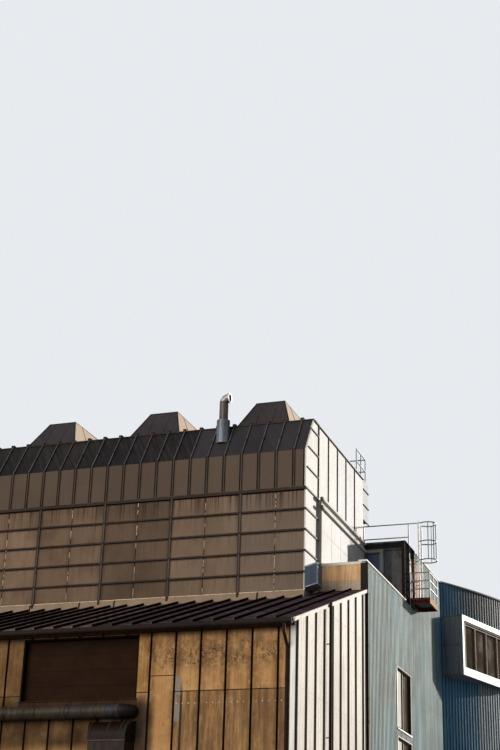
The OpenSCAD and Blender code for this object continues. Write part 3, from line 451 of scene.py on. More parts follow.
@dataclass(frozen=True)
class OchreSheet(Sheet):
    """Ochre front panels with a stain band, a bare strip, sooty stains, and painted shade under the eave,
    under the duct and beside the cowl.
    """

    # Near-black: sooty marks, and painted shade under the eave and beside the cowl.
    soot: Colour = (0.018, 0.013, 0.01)
    # Dark brown: soot on the pier, and soot mixed with painted shade under the duct.
    smoke: Colour = (0.042, 0.02, 0.007)
    bare: Colour = (0.25, 0.2, 0.155)
    grey: Colour = (0.085, 0.054, 0.03)
    umber: Colour = (0.1, 0.056, 0.026)
    rubbed: Colour = (0.62, 0.4, 0.175)

    def marks(self, coat: Coat, colour: Socket) -> Socket:
        """Add the curled stains, the browned lower sheets, the bare strip, sooty patches, and painted shade
        under the duct, beside the cowl and under the eave.
        """
        x, z, lay = coat.x, coat.z, coat.lay
        mottled = coat.smooth(coat.noise(coat.position, 2.6, 8.0, 0.78), 0.46, 0.62)
        colour = lay(colour, self.rubbed, mottled, 0.3)
        specks = coat.noise(coat.join(x, 3.0, coat.times(z, 0.7)), 7.0, 6.0, 0.75)
        colour = lay(colour, self.grey, coat.smooth(specks, 0.56, 0.68), 0.4)
        patches = coat.smooth(coat.noise(coat.position, 3.2, 8.0, 0.8), 0.4, 0.6)
        band = coat.times(coat.between(z, 9.7, 10.75, 0.3), coat.between(x, -2.9, 1.45, 0.15))
        colour = lay(colour, self.umber, patches, band, 0.6)
        low_band = coat.times(coat.between(z, 9.75, 10.5, 0.2), coat.between(x, -2.9, 1.3, 0.1))
        for scale, share in ((2.4, 0.7), (6.5, 0.55)):
            colour = lay(colour, self.soot, coat.effect(Effect.CURLS, scale)[0], low_band, share)
        lower = coat.times(coat.smooth(z, 9.05, 8.98), coat.smooth(x, -2.1, -2.04))
        tall = coat.noise(coat.join(coat.times(x, 4.5), 0.0, coat.times(z, 0.5)), 1.3, 8.0, 0.7)
        colour = lay(colour, self.umber, lower, coat.smooth(tall, 0.26, 0.64), 0.8)
        strip = coat.times(coat.between(x, -2.1, -1.84, 0.012), coat.between(z, 8.1, 9.5, 0.08))
        ragged = coat.smooth(coat.noise(coat.position, 3.0, 5.0, 0.7), 0.36, 0.46)
        colour = lay(colour, self.bare, strip, ragged, 0.95)
        smoke = coat.math("ADD", coat.noise(coat.position, 1.1, 4.0), 0.4, clamp=True)
        # Dark patches: a dark line by the door, soot with painted shade under the duct, soot on the left
        # pier, and a painted shadow of the cowl, with soot, to its right.
        for left, right, side, low, high, end, tint, mask, share in (
                (-1.87, -1.79, 0.012, 4.5, 9.1, 0.4, self.soot, 1.0, 0.9),
                (-9.9, -3.0, 0.2, 7.3, 8.85, 0.3, self.smoke, smoke, 1.0),
                (-9.2, -7.4, 0.05, 8.6, 10.9, 0.2, self.smoke, smoke, 0.75),
                (-3.35, -2.75, 0.16, 5.6, 8.7, 0.35, self.soot, smoke, 0.95)):
            area = coat.times(coat.between(x, left, right, side), coat.between(z, low, high, end))
            colour = lay(colour, tint, area, mask, share)
        # A dark band along the top of the wall: painted shade under the eave.
        return lay(colour, self.soot, coat.smooth(z, 10.66, 10.9), 0.85)


@dataclass(frozen=True)
class HallSheet(Sheet):
    """Brown cladding of the upper hall with stains and painted shade below each rail and a pale foot."""

    rails: tuple[float, ...] = (17.59, 16.81, 16.01, 15.21, 14.41)
    foot_top: float = 13.78
    foot_colour: Colour = (0.355, 0.24, 0.155)
    upper: Colour = (0.09, 0.061, 0.043)
    cold: Colour = (0.155, 0.115, 0.087)

    def marks(self, coat: Coat, colour: Socket) -> Socket:
        """Add the colder end bay, dark runs below the rails, painted shade just under each rail, the upper
        course and the foot.
        """
        z, lay = coat.z, coat.lay
        colour = lay(colour, self.cold, coat.smooth(coat.x, -3.2, -2.2), 0.6)
        for number, top in enumerate(self.rails):
            hanging = ((1.25, 0.13, 0.95), (1.3, 0.37, 0.6)) if number == 0 else ((0.7, 0.13, 0.34),)
            for reach, width, share in hanging:
                colour = lay(colour, self.dirt, coat.effect(Effect.HANGING, top, reach, width)[0], share)
            # A dark strip just under each rail, in the dirt colour: painted shade.
            colour = lay(colour, self.dirt, coat.between(z, top - 0.06, top + 0.02, 0.025), 0.6)
        colour = lay(colour, self.upper, coat.smooth(z, 17.6, 17.7), 0.85)
        worn = coat.times(coat.noise(coat.position, 1.6, 5.0, 0.65), 0.5)
        foot = coat.mix(worn, self.foot_colour, self.dirt)
        return lay(colour, foot, coat.smooth(z, self.foot_top + 0.004, self.foot_top - 0.004))


@dataclass(frozen=True)
class SidePaintedLightSheet(Sheet):
    """Charcoal sheet whose faces to the right take another colour, mostly near the front: painted light, pale
    on the monitors and near-black on the lean-to roof's seam flanks.
    """

    # Colour of the faces to the right, as painted light: pale sunlight on the monitors, near-black shade on
    # the lean-to roof's seams.
    bleached: Colour = (0.62, 0.46, 0.33)

    def marks(self, coat: Coat, colour: Socket) -> Socket:
        """Lay the painted light colour on the faces that look to the right."""
        near = coat.math("ADD", coat.smooth(coat.y, 4.5, 2.6), 0.5, clamp=True)
        return coat.lay(colour, self.bleached, coat.smooth(coat.facing(0), 0.35, 0.7), near, 0.95)


@dataclass(frozen=True)
class RibbedSheet(Sheet):
    """Ribbed sheet with laps, drips below them, a zone high up in another colour, and painted shade on the
    flanks that look to the front.
    """

    laps: tuple[float, ...] = ()
    rust: Colour = (0.42, 0.22, 0.1)
    high: float = 1000.0
    high_from: float = -1000.0
    high_colour: Colour = (0.3, 0.24, 0.18)
    # Painted shade for the rib flanks that look to the front.
    flank: Colour = (0.02, 0.014, 0.01)
    flank_share: float = 0.0
    stains: tuple[StainAndShadowPatch, ...] = ()

    def marks(self, coat: Coat, colour: Socket) -> Socket:
        """Paint shade on the flanks that look to the front, then add laps, drips, the colour patches and the
        zone high up.
        """
        y, z, lay = coat.y, coat.z, coat.lay
        if self.flank_share:
            colour = lay(colour, self.flank, coat.smooth(coat.facing(1), -0.55, -0.8), self.flank_share)
        for lap in self.laps:
            colour = lay(colour, self.dirt, coat.between(z, lap - 0.008, lap + 0.008, 0.01), 0.5)
            colour = lay(colour, self.rust, coat.effect(Effect.HANGING, lap, 0.7, 0.11)[0], 0.4)
        # Colour patches: real stains, and painted shadows such as the bay window's on the blue wall.
        for near, far, foot, top, tint, share in self.stains:
            area = coat.times(coat.between(y, near, far, 0.05), coat.between(z, foot, top, 0.25))
            colour = lay(colour, tint, area, share)
        cloud = coat.times(coat.noise(coat.position, 0.6, 4.0), 2.0)
        level = coat.math("SUBTRACT", coat.math("ADD", z, cloud), 1.0)
        along = coat.smooth(y, self.high_from, self.high_from + 2.5)
        bleached = coat.smooth(level, self.high - 1.1, self.high + 0.2)
        return lay(colour, self.high_colour, bleached, along, 0.85)


@dataclass(frozen=True)
class Pane:
    """Window glass with a film of dust.

    Attributes:
        name: Name of the material.
        slot: Material slot of the record.
        tint: Colour of the glass.
        dust: Colour of the dust.
    """

    name: str = "window_glass_dusty"
    slot: str = "window_glass"
    tint: Colour = (0.086, 0.056, 0.03)
    dust: Colour = (0.18, 0.132, 0.085)

    def build(self, workshop: Workshop) -> bpy.types.Material:
        """Make the glass.

        Args:
            workshop: The datum and the shared effects.

        Returns:
            The finished material.
        """
        patch_size, dust_share = 0.9, 0.5
        coat = Coat(self.name, workshop)
        blotch = coat.effect(Effect.BLOTCHES, patch_size)[0]
        return coat.close(
            Base_Color=coat.lay(self.tint, self.dust, blotch, dust_share), Metallic=0.0,
            Transmission_Weight=0.2, IOR=1.12, Specular_IOR_Level=0.09,
            Roughness=coat.node("MapRange", {0: blotch, 3: 0.03, 4: 0.16}).outputs[0])


class Kit:
    """All finishes of the building."""

    ochre = OchreSheet(
        "ochre_panels_weathered", "ochre_panels", "bd8c58 9e7144 4f3018", course=(0.35, 8.65), tone=0.8,
        runs=0.35, edge=0.7, panel=(-5.458, 0.844), run_size=(0.1, 3.0), rough=(0.6, 0.8))
    pale_ochre = OchreSheet(
        "ochre_panels_bleached", "ochre_panels", "a57a47 976836 4b2d13", tone=0.7, runs=0.35, edge=0.6,
        panel=(-5.458, 0.844), run_size=(0.1, 3.0), rough=(0.6, 0.8))
    # Near-black for the wall seen in the panel joints, for the reveals and under the laps: painted shade.
    joint_shadow = Sheet(
        "panel_joint_painted_shade", "ochre_panels", "150d08 0f0a07 080604", tone=0.6, rough=(0.8, 0.95))
    sill = Sheet(
        "ochre_sill_rail", "ochre_panels", "422a19 342114 1b1009", tone=0.8, runs=0.6, run_size=(0.06, 0.5))
    corner_cream = Sheet(
        "cream_corner_strip", "white_sheet", "f8f4ea f0e6d4 b49e82", runs=0.4, run_size=(0.05, 1.4),
        foot=0.0, gloss=0.3)
    end_strip = Sheet(
        "ochre_end_strip", "ochre_panels", "77512f 583b24 2e1e12", tone=0.8, runs=0.7, run_size=(0.08, 1.2))
    hall = HallSheet(
        "brown_cladding_weathered", "brown_cladding", "856c55 594638 2a1b12", tone=0.85, runs=0.12,
        edge=0.3, panel=(-2.515, 1.4), course=(0.05, 0.8), run_size=(0.2, 1.6),
        bands=(("x", -8.2, -5.38, "47382c", 0.6), ("x", -5.37, -2.58, "846e59", 0.4)))
    # Near-black backing of the hall front, seen in the gaps beside mullions and ribs: painted shade.
    hall_joints = HallSheet(
        "brown_cladding_painted_gap_shade", "brown_cladding", "1d1612 16110e 0f0b08", runs=0.3, upper="181310",
        cold="181311", panel=(-2.515, 1.4), course=(0.05, 0.8), run_size=(0.2, 1.6), gloss=0.08,
        rough=(0.7, 0.9))
    slope = Sheet(
        "charcoal_sheet_weathered", "charcoal_sheet", "322f31 262426 3c332d", panel=(-2.575, 0.7), tone=0.9,
        runs=0.4, run_size=(0.15, 1.5), gloss=0.1, bands=(("x", -17.0, -4.7, "100e0f", 0.9),))
    # Near-black on faces to the right: painted shade on the seam flanks.
    lean_roof = SidePaintedLightSheet(
        "lean_to_roof_sheet", "charcoal_sheet", "614e4d 48393c 2d2122", panel=(-2.575, 0.7), tone=0.9,
        runs=0.6, run_size=(0.15, 2.5), edge=0.7, rough=(0.65, 0.9), bleached=(0.008, 0.006, 0.006),
        gloss=0.0, bands=(("x", -17.0, -5.0, "847063", 0.6),))
    # Pale default colour on faces to the right: painted sunlight on the monitors' right slopes.
    monitor = SidePaintedLightSheet(
        "monitor_sheet_weathered_painted_light", "charcoal_sheet", "363031 292427 3c342e", panel=(-2.1, 0.66), tone=0.9,
        runs=0.45, run_size=(0.12, 0.8), gloss=0.12)
    rails = Sheet("dark_rail_paint", "dark_metal", "3f322a 302620 1b1410", tone=0.6, runs=0.4)
    rib = Sheet(
        "rib_paint_worn", "brown_cladding", "5d5248 4a4038 271f19", panel=(0.0, 0.7), tone=0.8,
        run_size=(0.05, 0.9))
    # Pale paint that stands as a painted highlight on the rails' top edges; it also dresses the cowl's
    # flanges and the bay's side joints.
    rib_dark = Sheet(
        "rail_edge_highlight_paint", "dark_metal", "615245 473b33 29201a", tone=0.9, runs=0.6, run_size=(0.3, 0.9))
    # Painted highlight along the mansard ribs' edges.
    slope_rib = Sheet(
        "mansard_rib_painted_highlight", "charcoal_sheet", "625c5a 4e4848 322c2a", panel=(0.0, 0.7), tone=0.8,
        run_size=(0.05, 0.9))
    black = Sheet("black_trim_paint", "dark_metal", "221e1d 1a1818 100e0e", tone=0.6, runs=0.3)
    duct = Sheet(
        "duct_sheet", "dark_metal", "483f33 332c24 1b1510", panel=(-1.5, 1.0), tone=0.9, runs=0.6,
        run_size=(0.1, 0.5), rough=(0.4, 0.6), metal=0.2,
        bands=(("x", -5.66, -4.66, "3b352f", 0.85), ("x", -4.22, -3.72, "353539", 0.8),
            ("x", -3.72, -3.0, "171413", 0.9)))
    cowl = Sheet(
        "cowl_sheet", "dark_metal", "1f1008 160a05 0a0404", panel=(-1.5, 0.8), tone=0.9, runs=0.6,
        run_size=(0.1, 0.5), rough=(0.35, 0.55),
        bands=(("x", -3.64, -3.2, "1b1715", 0.85), ("z", 6.0, 7.49, "35271d", 0.8)))
    brown = Sheet(
        "dark_brown_trim", "dark_metal", "271b15 1e1511 120d0a", tone=0.6, runs=0.4, gloss=0.1,
        rough=(0.6, 0.8))
    boards = Sheet(
        "dark_boards_matt", "dark_boards", "2d1b10 24160d 140c07", panel=(-10.09, 4.2), course=(8.83, 0.5),
        tone=0.6, runs=0.3, run_size=(0.5, 0.4), wave=0.002, gloss=0.06, rough=(0.8, 0.95))
    penthouse = Sheet(
        "penthouse_sheet", "dark_boards", "90908c 595858 343232", panel=(0.3, 0.8), course=(15.2, 2.3),
        tone=1.0, runs=0.6, run_size=(0.25, 0.5),
        bands=(("x", 0.94, 1.26, "4b4d54", 0.7), ("x", 1.6, 1.7, "674233", 0.35),
            ("x", 1.7, 1.9, "1b1919", 0.97), ("y", 9.06, 9.16, "f4ead7", 0.9),
            ("y", 9.88, 9.97, "8b5d44", 0.8), ("z", 17.46, 17.69, "1b1919", 0.9)), gloss=0.0)
    door = Sheet(
        "door_paint", "blue_grey_sheet", "42322c 342a28 221c1b", tone=0.7, runs=0.4, run_size=(0.05, 0.8),
        wave=0.001,
        bands=(("y", 8.2, 8.5, "5c6a7c", 0.95), ("y", 9.1, 9.72, "ecdeca", 0.95),
            ("y", 9.72, 9.95, "966242", 0.8)), gloss=0.1)
    cream = RibbedSheet(
        "cream_cladding_bleached", "cream_cladding", "cfc8be c5bdaf 91816a", panel=(1.6, 1.33), tone=0.7,
        runs=0.4, run_size=(0.1, 2.4), foot=0.0,
        bands=(("y", 8.35, 9.5, "707575", 0.9), ("y", 4.3, 8.35, "b8b4b0", 0.7)), gloss=0.15,
        rough=(0.5, 0.75))
    # Dark bands: painted shade on the ribs near the front corner and on the upper battens; the band from 8.33
    # to 9.4 is darker too.
    batten = Sheet(
        "cream_batten_strips_painted_shade", "cream_cladding", "cec6bc beb6ac 786858", runs=0.4, foot=0.0,
        bands=(("y", -0.1, 1.62, "544a42", 0.95), ("y", 8.33, 9.4, "544c46", 0.95),
            ("z", 17.72, 20.66, "4a423c", 0.95)), gloss=0.08, rough=(0.5, 0.75))
    # The darkened flanks are painted shade on the ribs' sides that face the front.
    white = RibbedSheet(
        "white_sheet_streaked", "white_sheet", "d8cebb cbbda8 7f6345", panel=(-4.9, 0.979), tone=0.7,
        joint=0.35, run_size=(0.09, 2.8), laps=(9.1, 12.1, 4.6), tall=0.3, gloss=0.12, rough=(0.5, 0.75),
        flank_share=0.85)
    blue = RibbedSheet(
        "light_blue_sheet_streaked", "blue_sheet", "85b1b5 ced7ca 8d7c64", panel=(1.85, 0.411),
        course=(-1.0, 8.3), tone=0.9, runs=0.8, run_size=(0.09, 6.0), laps=(11.6, 5.6, 15.1),
        rust=(0.3, 0.19, 0.11), edge=0.3, gloss=0.12, rough=(0.5, 0.75), tall=0.12,
        # Darkened flanks: painted shade on the ribs.
        flank=(0.12, 0.13, 0.125), flank_share=0.5,
        # The second patch, deep blue at the wall's far end, is a painted shadow of the bay window; the first
        # is a rust stain.
        stains=((9.96, 11.3, 15.4, 17.3, "f4c8a3", 0.6), (13.9, 15.2, 12.5, 15.9, "2b6582", 0.6)))
    # Darkened flanks are painted shade; the pale band along the far part of the wing is painted sunlight.
    navy = RibbedSheet(
        "navy_sheet_streaked", "navy_sheet", "1a6286 548494 42403c", panel=(0.5, 0.257), course=(-1.0, 6.3),
        tone=0.8, run_size=(0.12, 4.0), laps=(11.3, 5.6), rust=(0.2, 0.15, 0.11), high=16.6, high_from=15.0,
        high_colour="302922", gloss=0.2, rough=(0.4, 0.65), flank=(0.004, 0.014, 0.026), flank_share=0.85,
        tall=0.15, bands=(("y", 17.4, 20.0, "babeb2", 0.5),))
    beige = Sheet(
        "beige_panels_weathered", "beige_panels", "ebbb83 d5aa7f 815e40", panel=(0.2, 0.78),
        course=(14.46, 0.8), tone=0.8, foot=0.0, edge=0.4, bands=(("z", 13.0, 14.45, "baaa94", 0.85),))
    hood = Sheet(
        "blue_grey_sheet_worn", "blue_grey_sheet", "444f57 39414a 242425", panel=(0.1, 1.1), tone=0.6,
        runs=0.4, rough=(0.5, 0.75), gloss=0.22, bands=(("z", 13.7, 13.862, "98a5a6", 0.8),))
    hood_rim = Sheet("hood_rim_worn", "blue_grey_sheet", "969ea6 7c848c 464240", tone=0.6)
    bay_sheet = Sheet(
        "bay_shell_sheet", "blue_grey_sheet", "64676f 555962 393430", panel=(0.1, 1.1), tone=0.7)
    zinc = Sheet(
        "galvanised_steel", "galvanised", "b2aea8 96928c 6e543c", panel=(0.0, 0.4), tone=0.7, runs=0.4,
        run_size=(0.05, 0.4), rough=(0.3, 0.5), metal=0.5, wave=0.001)
    flue = Sheet(
        "flue_steel", "galvanised", "60544e 4e4642 322a26", panel=(0.0, 0.4), tone=0.8, runs=0.6,
        run_size=(0.05, 0.5), rough=(0.3, 0.5), metal=0.4,
        bands=(("z", 21.66, 22.2, "aaa6a0", 0.8), ("z", 19.0, 20.87, "687076", 0.85)))
    ladder_paint = Sheet(
        "ladder_steel_rusty", "galvanised", "ece7e0 d4cec8 8a6850", panel=(0.0, 0.4), tone=0.7, runs=0.3,
        run_size=(0.05, 0.4), gloss=0.4, rough=(0.4, 0.65), bands=(("z", 15.5, 16.6, "d2b29a", 0.5),))
    cage_paint = Sheet(
        "cage_steel_grey", "galvanised", "808284 686a6e 5c4c3e", panel=(0.0, 0.4), tone=0.7, runs=0.3,
        run_size=(0.05, 0.4), gloss=0.35, rough=(0.4, 0.65))
    guard = Sheet(
        "guard_rail_paint", "galvanised", "8c8a86 767676 5a4a3c", panel=(0.0, 0.4), tone=0.7, runs=0.4,
        rough=(0.4, 0.6), metal=0.3, bands=(("z", 20.6, 21.9, "303844", 0.95),))
    screw = Sheet("screw_head_zinc", "galvanised", "eccfa3 cdab81 7a5b3e", wave=0.0005)
    rust = Sheet(
        "red_lead_plate", "rust_plate", "5b1e18 421714 25100d", tone=0.8, runs=0.6, rough=(0.7, 0.9),
        gloss=0.05,
        # The pale band on the right fascia is painted sunlight.
        bands=(("x", 2.69, 2.8, "f6c098", 0.95), ("z", 15.2, 15.256, "4e5254", 0.97),
            ("z", 15.43, 15.45, "545e62", 0.97)))
    coping = Sheet(
        "coping_sheet_rusty", "white_sheet", "e2dacc d6cbba aa805c", runs=0.4, run_size=(0.3, 0.2),
        foot=0.0, gloss=0.1, rough=(0.5, 0.75), bands=(("y", 15.2, 30.0, "70543c", 0.85),))
    frame = Sheet(
        "window_frame_paint", "frame_paint", "eae2d2 daccb6 966c46", tone=0.6, runs=0.6,
        run_size=(0.05, 0.5), foot=0.0, wave=0.001, gloss=0.3, rough=(0.4, 0.65))
    bay_paint = Sheet(
        "bay_window_paint", "frame_paint", "f6ecda eedec4 a07650", runs=0.4, run_size=(0.08, 0.4), foot=0.0,
        wave=0.001, gloss=0.45, rough=(0.35, 0.6))
    bay_inner = Sheet(
        "bay_window_frame_worn", "frame_paint", "967a62 765e4c 463224", tone=0.7, run_size=(0.06, 0.4),
        foot=0.0, wave=0.001, gloss=0.2)
    dark_frame = Sheet(
        "window_frame_brown", "frame_paint", "544030 423228 281e18", tone=0.6, runs=0.4,
        run_size=(0.05, 0.5), foot=0.0, wave=0.001)
    concrete = Sheet(
        "bare_concrete", "concrete", "b0aca6 a09c96 68625a", panel=(0.0, 2.5), course=(0.0, 2.5), tone=0.7,
        joint=0.4, runs=0.4, rough=(0.75, 0.95), wave=0.003)
    sealant = Sheet("old_sealant", "cream_cladding", "ecd6b2 ceb28e 82684e", foot=0.0)
    blind = Sheet(
        "cream_blind", "cream_cladding", "e2dece cec6b2 8c7860", panel=(0.0, 0.9), tone=0.6,
        run_size=(0.12, 0.9), foot=0.0)
    pane = Pane()


Finish = Union[Sheet, Pane]


class Shape:
    """A piece under construction, drawn in metres from the building's datum."""

    def __init__(self, name: str, finish: Finish, bevel: float, smooth: bool) -> None:
        """Start an empty mesh.

        Args:
            name: Name of the piece.
            finish: The finish that it takes.
            bevel: Width of its rounded edges.
            smooth: Whether its faces are shaded smooth.
        """
        self.name, self.finish, self.bevel, self.smooth = name, finish, bevel, smooth
        self.mesh = bmesh.new()

    def block(self, low: Point, high: Point) -> None:
        """Add a box between two opposite corners."""
        low, high = Vector(low), Vector(high)
        size = Matrix.Diagonal((*(high - low), 1.0))
        bmesh.ops.create_cube(self.mesh, size=1.0, matrix=Matrix.Translation((low + high) / 2) @ size)

    def prism(self, outline: Sequence[Point], along: Point) -> None:
        """Draw a flat outline out along a direction.

        Args:
            outline: Corners of the flat outline, in order.
            along: Direction and length.
        """
        start = [self.mesh.verts.new(Vector(p)) for p in outline]
        end = [self.mesh.verts.new(Vector(p) + Vector(along)) for p in outline]
        self.mesh.faces.new(start)
        self.mesh.faces.new(end[::-1])
        for i, here in enumerate(start):
            after = (i + 1) % len(start)
            self.mesh.faces.new((here, end[i], end[after], start[after]))

    def strip(self, axis: str, start: float, end: float, outline: Sequence[Flat],
              at: Flat = (0.0, 0.0)) -> None:
        """Draw a profile out along an axis.

        Args:
            axis: The axis, x, y or z.
            start: Where the strip starts on the axis.
            end: Where it ends.
            outline: Points of the profile, on the other two axes in their order.
            at: Where the profile's zero lies.
        """
        n = "xyz".index(axis)
        points = [(at[0] + a, at[1] + b) for a, b in outline]
        along = Vector((0.0, 0.0, 0.0))
        along[n] = end - start
        self.prism([(*p[:n], start, *p[n:]) for p in points], along)

    def tube(self, start: Point, end: Point, radius: float, sides: int = 12,
             end_radius: float | None = None) -> None:
        """Add a round bar, or a cone where the end's radius is given."""
        start, end = Vector(start), Vector(end)
        run = end - start
        turn = Vector((0, 0, 1)).rotation_difference(run).to_matrix().to_4x4()
        bmesh.ops.create_cone(
            self.mesh, cap_ends=True, segments=sides, radius1=radius,
            radius2=radius if end_radius is None else end_radius, depth=run.length,
            matrix=Matrix.Translation((start + end) / 2) @ turn)

    def screw(self, place: Point, out: Point, radius: float) -> None:
        """Add a washer with a low head on it, facing out."""
        place, out = Vector(place), Vector(out)
        rim = place + out * radius * 0.25
        self.tube(place, rim, radius, 8)
        self.tube(rim, rim + out * radius * 0.5, radius * 0.62, 6, radius * 0.4)

    def sheet(self, corner: Point, across: Point, up: Point, out: Point, bow: float, seed: int,
              cells: tuple[int, int]) -> None:
        """Add a thin sheet whose face bows and waves a little.

        Args:
            corner: One corner of its back.
            across: First side of its back.
            up: Second side of its back.
            out: Direction and thickness towards its face.
            bow: Depth of the waves.
            seed: Seed of the waves.
            cells: Cells across and up.
        """
        corner, across, up, out = Vector(corner), Vector(across), Vector(up), Vector(out)
        pick = random.Random(seed)
        belly_phase, wave_phase = (pick.uniform(0, 2 * math.pi) for _ in range(2))
        wide, tall = cells
        least_rise = 0.35
        rows = []
        for j in range(tall + 1):
            row = []
            for i in range(wide + 1):
                u, v = i / wide, j / tall
                belly = math.sin(math.pi * u) * math.sin(math.pi * v) * math.sin(belly_phase)
                wave = math.sin(math.pi * u) * math.sin(9 * v + 2 * u + wave_phase) * 0.4
                rise = max(1.0 + (belly + wave) * bow / out.length, least_rise)
                back = corner + across * u + up * v
                row.append((self.mesh.verts.new(back), self.mesh.verts.new(back + out * rise)))
            rows.append(row)
        for j in range(tall):
            for i in range(wide):
                ring = (rows[j][i], rows[j][i + 1], rows[j + 1][i + 1], rows[j + 1][i])
                self.mesh.faces.new([pair[1] for pair in ring])
        rim = [rows[0][i] for i in range(wide + 1)] + [rows[j][wide] for j in range(1, tall + 1)]
        rim += [rows[tall][i] for i in range(wide - 1, -1, -1)] + [rows[j][0] for j in range(tall - 1, 0, -1)]
        for here, there in zip(rim, rim[1:] + rim[:1]):
            self.mesh.faces.new((here[0], there[0], there[1], here[1]))
        self.mesh.faces.new([pair[0] for pair in reversed(rim)])

    def place(self, workshop: Workshop) -> None:
        """Turn the mesh into a piece that rides on the building."""
        bmesh.ops.translate(self.mesh, vec=workshop.datum, verts=self.mesh.verts)
        bmesh.ops.recalc_face_normals(self.mesh, faces=self.mesh.faces)
        data = bpy.data.meshes.new(self.name)
        self.mesh.to_mesh(data)
        self.mesh.free()
        piece = bpy.data.objects.new(self.name, data)
        bpy.context.scene.collection.objects.link(piece)
        finish = self.finish
        data.materials.append(workshop.material(finish))
        for face in data.polygons:
            face.use_smooth = self.smooth
        if self.bevel:
            rounding = piece.modifiers.new("rounded_edges", "BEVEL")
            rounding.width = self.bevel
            rounding.segments = 2
            rounding.limit_method = "ANGLE"
        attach(piece, "root")
        log.info("built %s, %d faces", self.name, len(data.polygons))


@dataclass
class SubAssembly:
    """A group of solids and the small pieces on them.

    Attributes:
        workshop: The datum, the solids and the materials.
        shapes: The small pieces that were started.
        coats: The finish of each solid.
    """

    workshop: Workshop
    shapes: list[Shape] = field(default_factory=list)
    coats: ClassVar[dict[str, Finish]] = {}

    def build(self) -> None:
        """Dress the group's solids in their coats and add its small pieces."""
        for node, finish in self.coats.items():
            solid = self.workshop.nodes[node]
            solid.data.materials.clear()
            solid.data.materials.append(self.workshop.material(finish))
            log.info("dressed %s in %s", node, finish.name)
        self.add_pieces()
        for shape in self.shapes:
            shape.place(self.workshop)

    def start(self, name: str, finish: Finish, bevel: float = 0.0, smooth: bool = False) -> Shape:
        """Start a piece that is placed with the rest of the group."""
        self.shapes.append(Shape(name, finish, bevel, smooth))
        return self.shapes[-1]

    def add_pieces(self) -> None:
        """Build the small pieces; a plain group has none."""


def cut_out(rects: list[Rect], hole: Rect) -> list[Rect]:
    """Take a hole out of upright rectangles of (left, bottom, right, top).

    Args:
        rects: The rectangles.
        hole: What is taken out.

    Returns:
        The rectangles that are left.
    """
    least = 0.02
    left: list[Rect] = []
    for x0, z0, x1, z1 in rects:
        a, b, c, d = max(x0, hole[0]), max(z0, hole[1]), min(x1, hole[2]), min(z1, hole[3])
        if a >= c or b >= d:
            left.append((x0, z0, x1, z1))
            continue
        parts = [(x0, z0, a, z1), (c, z0, x1, z1), (a, z0, c, b), (a, d, c, z1)]
        left += [p for p in parts if p[2] - p[0] > least and p[3] - p[1] > least]
    return left


